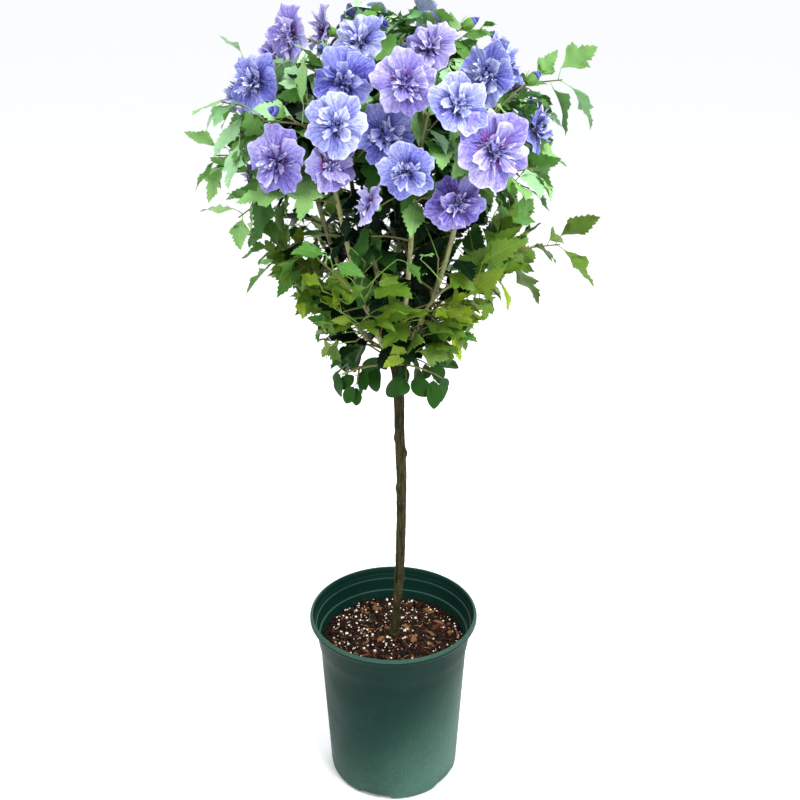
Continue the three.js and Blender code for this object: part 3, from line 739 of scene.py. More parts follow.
class Limb:
    """A stem, twig or twiglet, and where it leaves its parent. borne is how far along it bears anything."""

    def __init__(self, kind, line, radii, shoot, parent=None, at=0.0):
        self.kind, self.line, self.radii, self.shoot = kind, line, radii, shoot
        self.parent, self.at, self.bare = parent, at, BARE[kind]
        self.borne = 1.0 if kind == "bearer" else 0.0


class Shoot:
    """One cane with its leafy stem and everything on it."""

    def __init__(self, tier, azimuth, stream):
        self.tier, self.stream = tier, stream
        self.cane = self.stem = self.limb = None
        self.site = place(azimuth, *TIERS[tier]["site"])


def outward(azimuth):
    a = math.radians(azimuth)
    return Vector((math.sin(a), -math.cos(a), 0))


def place(azimuth, radius, height):
    return outward(azimuth) * radius + UP * height


def facing(azimuth, rise):
    r = math.radians(rise)
    return outward(azimuth) * math.cos(r) + UP * math.sin(r)


def away_from_axis(point):
    flat = Vector((point.x, point.y, 0))
    return flat.normalized() if flat.length > 0.001 else Vector((0, -1, 0))


def spiral(tangent, number, turn):
    """A way square to a limb, turned on by the golden angle for each number."""
    return Quaternion(tangent, number * GOLDEN_ANGLE + turn) @ any_across(tangent)


def crown_radius(height):
    heights, radii = zip(*CROWN_OUTLINE)
    return float(np.interp(height, heights, radii))


def share_out(point):
    """How far out in the crown a point is: 0 on the axis, 1 at the outline."""
    return math.hypot(point.x, point.y) / crown_radius(point.z)


def in_outline(point, slack=0.0):
    return point.z < CROWN_TOP and math.hypot(point.x, point.y) < crown_radius(point.z) + slack


def list_shoots():
    """Every shoot of every tier, with its cane's and its leafy stem's line."""
    shoots = []
    for name, tier in TIERS.items():
        for k in range(tier["count"]):
            stream = Stream(1000 * tier["rank"] + k)
            azimuth = tier["first"] + k * 360 / tier["count"] + 10 * (stream() - 0.5)
            reach = 0.95 + 0.1 * stream()
            end = place(azimuth, *tier["end"])
            tip_azimuth = azimuth + 8 * (stream() - 0.5)
            tip = place(tip_azimuth, tier["tip"][0] * reach, tier["tip"][1])
            lean = place(azimuth, *tier["lean"])
            shoot = Shoot(name, azimuth, stream)
            if tier["rise"] is None:
                end += Vector((HEAD.x, HEAD.y, 0))
                shoot.stem = Bend(end, end + lean, tip)
            else:
                leads = HEAD + facing(azimuth, tier["rise"]) * tier["lead"]
                shoot.cane = Bend(HEAD, leads, end)
                onward = (end - leads).normalized()
                shoot.stem = Bend(end, end + onward * lean.length, tip)
            shoots.append(shoot)
    return shoots


class Bloom:
    def __init__(self, middle, face, spin, size, family, shade):
        self.middle, self.face, self.spin = middle, face, spin
        self.size, self.family, self.shade = size, family, shade


def list_blooms():
    stream = Stream(77)
    blooms = []
    for azimuth, radius, height, face_azimuth, rise, *look in FRONT_BLOOMS:
        middle = place(azimuth, radius, height)
        blooms.append(Bloom(middle, facing(face_azimuth, rise), PETAL_TURN * stream(), *look))
    low, high = BACK_ARC
    for height, radius, count, stagger in BACK_ROWS:
        for k in range(count):
            azimuth = low + (high - low) * (k + stagger) / count + 8 * (stream() - 0.5)
            across = radius + 0.014 * (stream() - 0.5)
            middle = place(azimuth, across, height + 0.016 * (stream() - 0.5))
            face = facing(azimuth + 50 * (stream() - 0.5), 14 + 30 * (stream() - 0.4))
            spin = PETAL_TURN * stream()
            size = 0.92 + 0.16 * spin / PETAL_TURN
            blooms.append(Bloom(middle, face, spin, size, int(spin) % 2, math.sin(spin)))
    return blooms


def stem_share_below(stem, height):
    """How far up a stem to go without passing a height."""
    share = 0.06
    while share < 0.85 and stem.point(share + 0.03).z < height:
        share += 0.03
    return share


def grow_bearer(shoot, kind, end):
    """A twig from the shoot's stem to a bloom, a bud or a long twig's tip."""
    stem = shoot.stem
    at = stem_share_below(stem, end.z - BEARER_DROP)
    start = stem.point(at)
    reach = (end - start).length
    bend = start + stem.tangent(at) * (reach * 0.3) + UP * (reach * 0.12)
    return Limb(kind, Bend(start, bend, end), TWIG_RADIUS, shoot, shoot.limb, at)


def grow_twigs(shoot):
    """Twigs round the stem by the golden angle, shorter towards its tip."""
    tier, stem, stream = TIERS[shoot.tier], shoot.stem, shoot.stream
    twigs = []
    for k in range(tier["twigs"]):
        at = 0.05 + 0.9 * (k + 0.5) / tier["twigs"]
        tangent, start = stem.tangent(at), stem.point(at)
        side = spiral(tangent, k, stream())
        length = tier["twig"] * (1 - 0.35 * at) * (0.8 + 0.4 * stream())
        heading = (side * 0.8 + tangent * 0.45 + away_from_axis(start) * 0.3).normalized()
        if shoot.tier == "lower" and at < 0.5:
            heading = (heading * 0.6 + away_from_axis(start) * 0.6 - UP * (0.5 - at)).normalized()
        for share in (1, 0.75, 0.5):
            line = arched(start, heading, length * share, length * 0.06)
            if in_outline(line.end, -TWIG_INSET) and (line.end.z > LOWEST_LOBED or shoot.tier == "skirt"):
                twigs.append(Limb("twig", line, TWIG_RADIUS, shoot, shoot.limb, at))
                break
    return twigs


def grow_core_twigs(shoot):
    """Short shaded twigs on the upper part of a cane, turned sideways and in."""
    cane, stream = shoot.cane, shoot.stream
    twigs = []
    for k in range(CORE_TWIGS):
        at = 0.34 + 0.62 * (k + 0.5) / CORE_TWIGS
        tangent, start = cane.tangent(at), cane.point(at)
        side = spiral(tangent, k, 2 * stream())
        heading = (side * 0.8 + tangent * 0.3 - away_from_axis(start) * 0.3).normalized()
        heading.z = abs(heading.z)
        end = start + heading * (0.05 + 0.03 * stream())
        bend = (start + end) * 0.5 + UP * 0.006
        twigs.append(Limb("core", Bend(start, bend, end), TWIG_RADIUS, shoot))
    return twigs


def grow_twiglets(twig, count):
    """The same rule once more, at a finer size, along a twig."""
    stream = twig.shoot.stream
    twiglets = []
    for k in range(count):
        at = 0.3 + 0.6 * (k + 0.5 * stream()) / count
        tangent, start = twig.line.tangent(at), twig.line.point(at)
        side = spiral(tangent, k, 2 * stream())
        away = away_from_axis(start)
        heading = (side * 0.8 + tangent * 0.5 + away * 0.15 + UP * 0.1).normalized()
        length = 0.03 + 0.03 * stream()
        line = arched(start, heading, length, length * 0.08)
        if in_outline(line.end, -TWIG_INSET) and line.end.z > LOWEST_LOBED:
            twiglets.append(Limb("twiglet", line, TWIGLET_RADIUS, twig.shoot, twig, at))
    return twiglets


def leaf_heading(low, side, tangent, away, stream):
    """Which way a leaf points and which way it faces: hanging in the fringe, spread elsewhere."""
    if low:
        droop = 0.5 + 0.5 * stream()
        along = (side * 0.7 + away * 0.5 - UP * droop).normalized()
        return along, UP * 0.35 + away + side * (0.5 * (stream() - 0.5))
    droop = 0.05 + 0.5 * stream()
    along = (side * 0.9 + tangent * 0.35 + away * 0.45 - UP * droop).normalized()
    return along, UP * 0.9 + away * 0.55 + outward(360 * stream()) * 0.5


def offsets(points, middles, faces):
    """How far each point lies before each middle, the way that it faces, and how far to its side."""
    ways = points[:, None, :] - middles
    ahead = (ways * faces).sum(-1)
    return ahead, np.linalg.norm(ways - ahead[..., None] * faces, axis=-1)


class Crown:
    """Everything that has grown: shoots, limbs, blooms, buds and leaves."""

    def __init__(self):
        self.shoots = list_shoots()
        self.blooms = list_blooms()
        buds = [place(azimuth, radius, height) for azimuth, radius, height, _ in BUDS]
        self.middles = np.array([bloom.middle for bloom in self.blooms] + buds)
        self.faces = np.array([bloom.face for bloom in self.blooms] + [Vector(FRONT)] * len(buds))
        reaches = [bloom.size * settings("bloom").radius for bloom in self.blooms]
        self.reaches = np.array(reaches + [BUD_CLEAR] * len(buds))
        canes = [shoot.cane for shoot in self.shoots if shoot.tier in ("outer", "inner")]
        marks = [cane.point(share) for cane in canes for share in CANE_MARKS]
        self.cane_marks = np.array([mark for mark in marks if mark.y < CANE_BACK])
        for shoot in self.shoots:
            radii = (TIERS[shoot.tier]["radius"][1], STEM_TIP_RADIUS)
            shoot.limb = Limb("stem", shoot.stem, radii, shoot)
        self.limbs = [shoot.limb for shoot in self.shoots]
        self.buds = []
        self.leaves = []
        self.leaf_grid = {}
        self.grow_limbs()
        for limb in self.limbs:
            self.grow_leaves(limb)
        for limb in reversed(self.limbs):
            if limb.borne and limb.parent:
                limb.parent.borne = max(limb.parent.borne, limb.at)

    def nearest(self, point):
        return min(self.shoots, key=lambda shoot: (shoot.site - point).length)

    def grow_limbs(self):
        for bloom in self.blooms:
            bloom.shoot = self.nearest(bloom.middle)
            end = bloom.middle - bloom.face * (0.3 * settings("bloom").radius)
            self.limbs.append(grow_bearer(bloom.shoot, "bearer", end))
        for azimuth, radius, height, openness in BUDS:
            end = place(azimuth, radius, height - BUD_LENGTH * 0.6)
            limb = grow_bearer(self.nearest(end), "bearer", end)
            self.limbs.append(limb)
            self.buds.append((end, limb.line.tangent(1), openness))
        for azimuth, radius, height in LONG_TWIGS:
            end = place(azimuth, radius, height)
            self.limbs.append(grow_bearer(self.nearest(end), "tip", end))
        for shoot in self.shoots:
            twigs = grow_twigs(shoot) + (grow_core_twigs(shoot) if shoot.cane else [])
            self.limbs += [limb for limb in twigs if self.limb_clear(limb.line)]
        for limb in list(self.limbs):
            if limb.kind in ("twig", "tip") and limb.shoot.tier != "skirt":
                twiglets = grow_twiglets(limb, 1 if limb.kind == "tip" else settings("leaf").twiglets)
                self.limbs += [twiglet for twiglet in twiglets if self.limb_clear(twiglet.line)]

    def clear_of_blooms(self, points, depth):
        """True if no point lies in a bloom, just before its face, or before one that looks forward."""
        ahead, aside = offsets(points, self.middles, self.faces)
        hit = (aside < self.reaches * BLOOM_WIDTH) & (ahead > -BLOOM_BACK) & (ahead < depth)
        nearer, beside = offsets(points, self.middles, FRONT)
        hides = (beside < self.reaches * HIDDEN_WIDTH) & (nearer > 0) & (self.faces @ FRONT > 0.2)
        return not (hit | hides).any()

    def hides_cane(self, points):
        """True if a point lies before one of the front canes."""
        nearer, beside = offsets(points, self.cane_marks, FRONT)
        return ((beside < CANE_CLEAR) & (nearer > 0.004)).any()

    def limb_clear(self, line):
        return self.clear_of_blooms(np.array([line.point(k / 4) for k in (1, 2, 3, 4)]), LIMB_VIEW)

    def crowded(self, centre, reach):
        """True if another leaf's middle lies within reach of this one's."""
        key = tuple(math.floor(c / LEAF_CELL) for c in centre)
        for step in product((-1, 0, 1), repeat=3):
            cell = tuple(map(sum, zip(key, step)))
            if any((other - centre).length < reach for other in self.leaf_grid.get(cell, ())):
                return True
        self.leaf_grid.setdefault(key, []).append(centre)
        return False

    def leaf_clear(self, marks, may_stand_out, low, may_hide):
        """True if a leaf keeps in the crown and off the blooms, and off the front canes if it must."""
        if not may_stand_out and not all(in_outline(mark) for mark in marks):
            return False
        if not low and min(mark.z for mark in marks) < LOWEST_LOBED:
            return False
        points = np.array(marks)
        return self.clear_of_blooms(points, LEAF_VIEW) and (may_hide or not self.hides_cane(points))

    def grow_leaves(self, limb):
        """Leaves along a limb by the golden angle, and a tuft at a twig's end."""
        low = limb.shoot.tier == "skirt"
        tier = TIERS[limb.shoot.tier]
        stream, line = limb.shoot.stream, limb.line
        wider = FRINGE_SPACING if low else BEARER_SPACING if limb.kind == "bearer" else 1
        spacing = settings("leaf").spacing * wider
        count = max(1, round(line.length() * (1 - limb.bare) / spacing))
        tuft = 0 if limb.kind == "bearer" else TUFT
        spray = pick_green(line.point(1 if limb.kind == "tip" else 0.7), limb.shoot.tier, stream)
        for k in range(count + tuft):
            at = TUFT_PLACE if k >= count else limb.bare + (1 - limb.bare) * (k + 0.3) / count
            tangent, start = line.tangent(at), line.point(at)
            away = away_from_axis(start)
            young = YOUNG_LEAF if limb.kind == "twiglet" and k >= count else 1.0
            size = tier["leaf"] * settings("leaf").size * young * (0.72 + 0.5 * stream())
            may_hide = low or stream() < COVERING_LEAVES
            for attempt in range(LEAF_TRIES):
                side = spiral(tangent, k + attempt * 0.7, 2 * stream())
                stalk = (side * 0.9 + tangent * 0.4 + UP * 0.25).normalized()
                along, normal = leaf_heading(low, side, tangent, away, stream)
                root = start + stalk * (size * (0.12 + 0.2 * stream()))
                across = normal.cross(along).normalized()
                face = along.cross(across)
                marks = [root + along * (size * x) + across * (size * y) for x, y in LEAF_MARKS]
                centre = root + along * (size * 0.5)
                if not self.leaf_clear(marks, limb.kind == "tip", low, may_hide):
                    continue
                if stream() < thinness(centre) and limb.kind != "tip" and not low:
                    break
                if self.crowded(centre, size * LEAF_APART):
                    continue
                self.leaves.append(Leaf(start, root, along, across, face, size, limb, spray, stream))
                limb.borne = max(limb.borne, at)
                break


def thinness(point):
    """The share of leaves that a part of the head goes without: its skin, and its middle depth low down."""
    share = share_out(point)
    if share > SKIN_FROM:
        return THINNED_SKIN if point.z > THINNED_SKIN_FROM else THINNED_LOW_SKIN
    return THINNED_MIDDLE if point.z < MIDDLE_TOP and share > MIDDLE_FROM else 0.0


class Leaf:
    """A leaf's place, its axes, its green and its own bends."""

    def __init__(self, start, root, along, across, face, size, limb, spray, stream):
        self.start, self.root, self.size, self.tier = start, root, size, limb.shoot.tier
        self.along, self.across, self.face = along, across, face
        self.green = neighbour_green(spray, stream) if stream() < STRAY_LEAVES else spray
        if self.green == "mint" and root.z < MINTY_FROM:
            self.green = "fresh"
        lit = share_out(root) > next(share for height, share in LIT if root.z > height)
        if lit and self.green in ("shade", "deep"):
            self.green = "leaf" if root.z > UNSHADED_FROM else "moss"
        self.shape = int(stream() * 3)
        self.bend = stream.between(0.1, 0.9)
        self.fold = stream.between(0.0, 0.3)
        self.twist = stream.between(-0.6, 0.6)
        self.wave = stream.between(0, 2 * math.pi)


def pick_green(point, tier, stream):
    """The green of a spray: minty and fresh on top as a painted light from above, olive and mossy low down,
    dark inside as a painted shade.
    """
    if tier == "skirt":
        return "fringe"
    depth = 1 - share_out(point)
    lot = stream()
    lots = next(row for height, row in GREEN_LOTS if point.z > height)
    if any(point.z < top and depth > deep for top, deep in SHADED):
        lots = SHADED_LOTS
    return next(name for end, name in lots if lot < end)


def neighbour_green(name, stream):
    """The next lighter or darker green of the row. Those out of the row go mossy, but not the fringe's."""
    if name not in GREEN_ROW:
        return name if name == "fringe" else "moss"
    place_in_row = GREEN_ROW.index(name) + (1 if stream() < 0.5 else -1)
    return GREEN_ROW[min(max(place_in_row, 0), len(GREEN_ROW) - 1)]


@lru_cache(maxsize=None)
def grown_crown():
    return Crown()


# ------------------------------------------------------------------ leaves

# Half outlines of a blade as shares of its length: along, to the side. Each tooth is two points.
LOBED_EDGES = (
    (
        (0.08, 0.035), (0.18, 0.11), (0.27, 0.20), (0.33, 0.285), (0.43, 0.345), (0.445, 0.31),
        (0.56, 0.375), (0.555, 0.30), (0.585, 0.22), (0.565, 0.165), (0.65, 0.18), (0.73, 0.205),
        (0.74, 0.145), (0.82, 0.15), (0.835, 0.095), (0.91, 0.08), (0.93, 0.04),
    ),
    (
        (0.08, 0.045), (0.17, 0.125), (0.26, 0.205), (0.32, 0.245), (0.345, 0.305), (0.49, 0.355),
        (0.49, 0.29), (0.545, 0.265), (0.54, 0.205), (0.64, 0.235), (0.655, 0.175), (0.74, 0.19),
        (0.755, 0.13), (0.84, 0.13), (0.86, 0.08), (0.93, 0.055), (0.95, 0.025),
    ),
    (
        (0.09, 0.045), (0.20, 0.12), (0.30, 0.17), (0.325, 0.215), (0.44, 0.245), (0.455, 0.195),
        (0.55, 0.215), (0.57, 0.165), (0.66, 0.175), (0.68, 0.125), (0.77, 0.13), (0.79, 0.085),
        (0.87, 0.08), (0.89, 0.045), (0.96, 0.02),
    ),
)
OVAL_EDGE = (
    (0.03, 0.10), (0.10, 0.20), (0.20, 0.29), (0.32, 0.345), (0.46, 0.365), (0.60, 0.35),
    (0.73, 0.30), (0.84, 0.225), (0.92, 0.14), (0.98, 0.06),
)
VEIN_SLANT = 0.55  # how far forward the ribs run as they go out
VEIN_LIFT = 0.007
VEIN_WIDTHS = (0.010, 0.0055)  # half widths of the midrib and of the side ribs at their roots
FRINGE_CALM = 0.25  # how much the fringe's leaves are waved and twisted, against the others
STALK_RADII = (0.0008, 0.0006)


def rib_root(x, y):
    """Where on the midrib the rib to a point of the edge starts."""
    return max(0.02, x - VEIN_SLANT * y)


@lru_cache(maxsize=None)
def blade(edge):
    """Flat corners of a blade, its faces and the faces of its raised ribs."""
    corners = [(0, 0, 0)]
    for x, y in edge:
        rib = rib_root(x, y)
        middle = (x + rib) / 2
        corners += [(x, -y, 0), (middle, -y / 2, 0), (rib, 0, 0), (middle, y / 2, 0), (x, y, 0)]
    tip = len(corners)
    corners.append((1, 0, 0))
    quads = []
    for i in range(len(edge) - 1):
        a = 1 + 5 * i
        quads += [(a + j, a + 5 + j, a + 6 + j, a + 1 + j) for j in range(4)]
    last = tip - 5
    triangles = [(0, 1 + j, 2 + j) for j in range(4)] + [(last + j, tip, last + j + 1) for j in range(4)]

    veins = []
    lines = [[(0.0, 0.0)] + [(rib_root(x, y), 0.0) for x, y in edge[2::3]] + [(0.96, 0.0)]]
    for x, y in edge[3:-1:3]:
        rib = rib_root(x, y)
        for way in (-1, 1):
            lines.append([(rib, 0.0), ((x + rib) / 2, way * y / 2), (x * 0.98, way * y * 0.93)])
    for number, line in enumerate(lines):
        width = VEIN_WIDTHS[min(number, 1)]
        first = len(corners)
        for i, (x, y) in enumerate(line):
            ahead, behind = line[min(i + 1, len(line) - 1)], line[max(i - 1, 0)]
            run, rise = ahead[0] - behind[0], ahead[1] - behind[1]
            half = width * (1 - 0.75 * i / (len(line) - 1)) / math.hypot(run, rise)
            corners += [(x + way * rise * half, y - way * run * half, VEIN_LIFT) for way in (1, -1)]
            if i:
                a = first + 2 * i - 2
                veins.append((a, a + 2, a + 3, a + 1))
    return np.array(corners), np.array(quads), np.array(triangles), np.array(veins)


def lay_leaf(bundle, leaf):
    """Bends one blade into its place, on a slim stalk from the twig."""
    edge = OVAL_EDGE if leaf.tier == "skirt" else LOBED_EDGES[leaf.shape]
    corners, quads, triangles, veins = blade(edge)
    x, y, z = corners.T
    calm = FRINGE_CALM if leaf.tier == "skirt" else 1.0
    margin = np.abs(y) * (0.16 * np.sin(9 * x + leaf.wave) + 0.1 * np.sin(17 * x + 5 * y + leaf.wave))
    lift = leaf.fold * np.abs(y) + z + margin * calm
    twist = leaf.twist * calm * x
    side = y * np.cos(twist) - lift * np.sin(twist)
    rise = y * np.sin(twist) + lift * np.cos(twist)
    arc = leaf.bend * x
    run = np.sin(arc) / leaf.bend + rise * np.sin(arc)
    drop = (1 - np.cos(arc)) / leaf.bend
    rise = rise * np.cos(arc) - drop
    shaped = np.outer(run, leaf.along) + np.outer(side, leaf.across) + np.outer(rise, leaf.face)
    points = np.array(leaf.root) + leaf.size * shaped
    slot = GREEN_NAMES.index(leaf.green)
    vein = len(GREEN_NAMES) + GREENS[leaf.green][1]
    bundle.add(points, (quads, slot), (triangles, slot), (veins, vein))
    middle = leaf.start + (leaf.root - leaf.start) * 0.5 + UP * (leaf.size * 0.03)
    end = leaf.root + leaf.along * (leaf.size * 0.04)
    tube(bundle, Bend(leaf.start, middle, end), taper(*STALK_RADII), 3, 3, vein)


# ------------------------------------------------------------------ blooms and buds


def petal_slot(family, tone):
    """The slot of each tone, 0 deepest to 7 palest, in its colour family."""
    tones = len(BLUE_PETALS)
    return PETAL_SLOT + family * tones + np.clip(np.floor(tone), 0, tones - 1).astype(int)


class BloomFrame:
    """A bloom's own axes, and its corners' way into the plant."""

    def __init__(self, bloom):
        across = any_across(bloom.face)
        down = bloom.face.cross(across)
        self.axes = np.array([across, down, bloom.face])
        self.middle = np.array(bloom.middle)
        self.size = settings("bloom").radius * bloom.size
        self.family, self.shade = bloom.family, bloom.shade

    def place(self, across, down, forward):
        points = np.stack([across.ravel(), down.ravel(), forward.ravel()], axis=1)
        return self.middle + self.size * points @ self.axes


def lay_petal(bundle, spot, turn, spec, grain):
    """One petal: a fan from the middle, its edge rounded and ruffled, its veins finely streaked."""
    columns, rows = spec["grid"]
    u = np.linspace(-1, 1, columns + 1)[None, :]
    v = 0.05 + 0.95 * np.linspace(0, 1, rows + 1)[:, None] ** 0.9
    one, two, three, four = grain.uniform(0, 6.28, 4)
    spread = math.radians(spec["half"]) * (0.4 + 0.6 * np.sin(np.minimum(v * 1.9, 1.57)))
    rounding = 1 - spec["rounding"] * np.abs(u) ** 2.7 * v**2
    ripple = 0.05 * np.sin(5.5 * u + one) * v**3 + 0.03 * np.sin(13 * u + two) * v**6
    radius = spec["reach"] * v * rounding * (1 + ripple)
    angle = turn + u * spread + 0.06 * np.sin(3 * u + three) * v
    waves = v**2.2 * np.sin(3.4 * u * spec["ripples"] + one + 1.2 * v)
    frill = v**5 * np.sin(11 * u + four)
    ribs = 0.010 * np.cos(24 * u + two) * np.sin(3.1 * v)
    base, slope, curl = spec["cup"]
    lean = grain.uniform(-0.07, 0.07)
    forward = base + (slope + lean) * v + curl * v * v + spec["wave"] * (waves + 0.45 * frill)
    forward = forward + ribs + 0.06 * u * v
    points = spot.place(radius * np.cos(angle), radius * np.sin(angle), forward)
    faces = grid_faces(rows + 1, columns + 1)

    cell_u = (u[:, 1:] + u[:, :-1]) / 2
    cell_v = (v[1:] + v[:-1]) / 2
    streak = 0.55 * np.sin(21 * cell_u + one) + 0.5 * np.sin(47 * cell_u + two)
    tone = spec["tone"] + spec["fade"] * cell_v + 1.3 * spot.shade + streak * (1.15 - 0.7 * cell_v)
    tone = tone + 0.9 * np.sin(1.7 * cell_u + three) + 0.9 * np.clip((cell_v - 0.9) * 12, 0, 1)
    slots = petal_slot(spot.family, tone + grain.uniform(0, 1, tone.shape))
    if spec["eye"]:
        scatter = cell_v + 0.09 * streak + grain.uniform(-0.05, 0.05, tone.shape)
        speckled = (scatter < THROAT_REACH[spot.family]) & (grain.uniform(0, 1, tone.shape) < 0.6)
        slots = np.where(scatter < EYE_REACH, EYE_SLOT, np.where(speckled, THROAT_SLOT, slots))
    bundle.add(points, (faces, slots.ravel()))


def lay_petaloid(bundle, spot, grain, cream):
    """One narrow ruffle of the middle, folded, twisted and bent outwards."""
    length = grain.uniform(0.3, 0.66) * (0.6 if cream else 1)
    width = grain.uniform(0.035, 0.1) * (0.4 if cream else 1)
    turn = grain.uniform(0, 2 * math.pi)
    tilt = grain.uniform(0.15, 1.3)
    curl, twist = grain.uniform(-0.3, 1.7), grain.uniform(-1.8, 1.8)
    steps = 7
    rows = np.linspace(0, 1, steps)[:, None]
    across = np.array([(-1.0, 0.0, 1.0)])
    swell = np.sin(0.35 + 2.35 * rows) * (1 + 0.3 * np.sin(9 * rows + turn * 3))
    side = across * width * swell
    bent = tilt + curl * rows
    run = np.cumsum(np.sin(bent), axis=0) * length / steps
    rise = np.cumsum(np.cos(bent), axis=0) * length / steps
    fold = 0.6 * np.abs(side)
    out = run - fold * np.cos(bent)
    up = rise + fold * np.sin(bent) + side * np.sin(twist * rows)
    flat = side * np.cos(twist * rows)
    x = grain.uniform(-0.14, 0.14) + out * math.cos(turn) - flat * math.sin(turn)
    y = grain.uniform(-0.08, 0.22) + out * math.sin(turn) + flat * math.cos(turn)
    if cream:
        slots = STAMEN_SLOT
    else:
        # Deep violet at a petaloid's foot is a painted shade in the ruffled middle, going pale towards its
        # tip; each petaloid is also darkened by its own random amount.
        deep = grain.uniform(-2.7, 1.1)
        tone = 7.2 * np.repeat(rows[:-1].ravel() + 0.1, 2) ** 1.25 + deep + 0.5 * spot.shade
        slots = petal_slot(spot.family, tone + grain.uniform(0, 1, tone.shape))
    bundle.add(spot.place(x, y, up - 0.14), (grid_faces(steps, 3), slots))


OUTER_PETAL = {
    "grid": (32, 15), "half": 44, "reach": 1.0, "rounding": 0.24, "wave": 0.105, "ripples": 1.0,
    "tone": 1.0, "fade": 2.4, "eye": True,
}
INNER_PETAL = {
    "grid": (10, 8), "rounding": 0.3, "wave": 0.12, "ripples": 1.4, "cup": (-0.14, 0.72, -0.22),
    "tone": 0.3, "fade": 4.3, "eye": False,
}
EYE_REACH = 0.2  # of a petal's length, for the dark eye
THROAT_REACH = (0.26, 0.42)  # for the reddish specks round it, in the bluer and the pinker family
CALYX_SIDES = 10
CALYX_PROFILE = ((-0.52, 0.05), (-0.47, 0.12), (-0.36, 0.17), (-0.22, 0.17), (-0.14, 0.12))


def lay_bloom(bundle, bloom, number):
    grain = np.random.default_rng(5000 + number)
    spot = BloomFrame(bloom)
    look = settings("bloom")
    curl = -0.5 + grain.uniform(-0.1, 0.16)
    for k in range(PETALS):
        turn = math.radians(bloom.spin + PETAL_TURN * k + grain.uniform(-7, 7))
        reach = grain.uniform(0.92, 1.06)
        outer = dict(OUTER_PETAL, reach=reach, cup=(-0.2, 0.68, curl + grain.uniform(-0.1, 0.1)))
        lay_petal(bundle, spot, turn, outer, grain)
    for k in range(look.inner):
        between = bloom.spin + PETAL_TURN / 2
        turn = math.radians(between + 360 * k / look.inner + grain.uniform(-24, 24))
        reach, half = grain.uniform(0.4, 0.76), grain.uniform(16, 34)
        lay_petal(bundle, spot, turn, dict(INNER_PETAL, reach=reach, half=half), grain)
    for k in range(look.petaloids):
        lay_petaloid(bundle, spot, grain, k % 6 == 5)
    lay_calyx(bundle, spot)


def lay_calyx(bundle, spot):
    """The green cup behind a bloom, with five sepals under the petals."""
    turns = round_turns(CALYX_SIDES)[None, :]
    forward, radius = (np.array(row)[:, None] for row in zip(*CALYX_PROFILE))
    cup = spot.place(radius * np.cos(turns), radius * np.sin(turns), forward * np.ones_like(turns))
    bundle.add(cup, (grid_faces(len(CALYX_PROFILE), CALYX_SIDES, True)[:, ::-1], SEPAL_SLOT))
    for k in range(PETALS):
        turn = math.radians(PETAL_TURN * k + 20)
        half = np.array((-0.5, 0.0, 0.5))[None, :] * np.array((1.0, 0.8, 0.04))[:, None]
        reach = np.array((0.15, 0.28, 0.42))[:, None] * np.ones((1, 3))
        height = np.array((-0.26, -0.17, -0.13))[:, None] * np.ones((1, 3))
        sepal = spot.place(reach * np.cos(turn + half), reach * np.sin(turn + half), height)
        bundle.add(sepal, (grid_faces(3, 3), SEPAL_SLOT))


def lay_bud(bundle, root, direction, openness):
    """A ridged green bud with its furled petals showing at the end."""
    line = Bend(root, root + direction * (BUD_LENGTH * 0.5), root + direction * BUD_LENGTH)
    green = 0.62 - 0.2 * openness

    def swell(share, turns):
        body = math.sin(math.pi * min(1, 0.12 + 0.92 * share)) ** 0.6
        slim = 1 if share < green else 0.86 + 0.2 * openness
        ridges = 1 + 0.1 * np.cos(5 * turns + 4 * share)
        return np.maximum(BUD_LENGTH * 0.27 * body * slim * ridges, 0.0004)

    tones = [SEPAL_SLOT if i / BUD_STEPS < green else PETAL_SLOT + i % 3 for i in range(BUD_STEPS)]
    slots = np.repeat(tones, BUD_SIDES)
    body = rings_along(line, swell, BUD_SIDES, BUD_STEPS)
    bundle.add(body, (grid_faces(BUD_STEPS + 1, BUD_SIDES, True), slots))
    across = any_across(direction)
    second = direction.cross(across)
    for turn in round_turns(BUD_SEPALS):
        out = across * math.cos(turn) + second * math.sin(turn)
        start = root + out * (BUD_LENGTH * 0.1)
        middle = start + out * (BUD_LENGTH * 0.28) + direction * (BUD_LENGTH * 0.1)
        end = start + out * (BUD_LENGTH * 0.3) + direction * (BUD_LENGTH * 0.5)
        tube(bundle, Bend(start, middle, end), taper(0.0009, 0.0003), 3, 3, SEPAL_SLOT)


# ------------------------------------------------------------------ pot and mix


POT_FOOT, POT_SHOULDER = 0.1105, 0.1225  # the wall's radius at its foot and under the collar
POT_CORNER = 0.007  # how far the foot is rounded
POT_STEP = 0.256  # the height at which the wall steps out to the collar
POT_SIDES = 240
NOTCH_AZIMUTH, NOTCH_HALF = -17, 15.5  # degrees


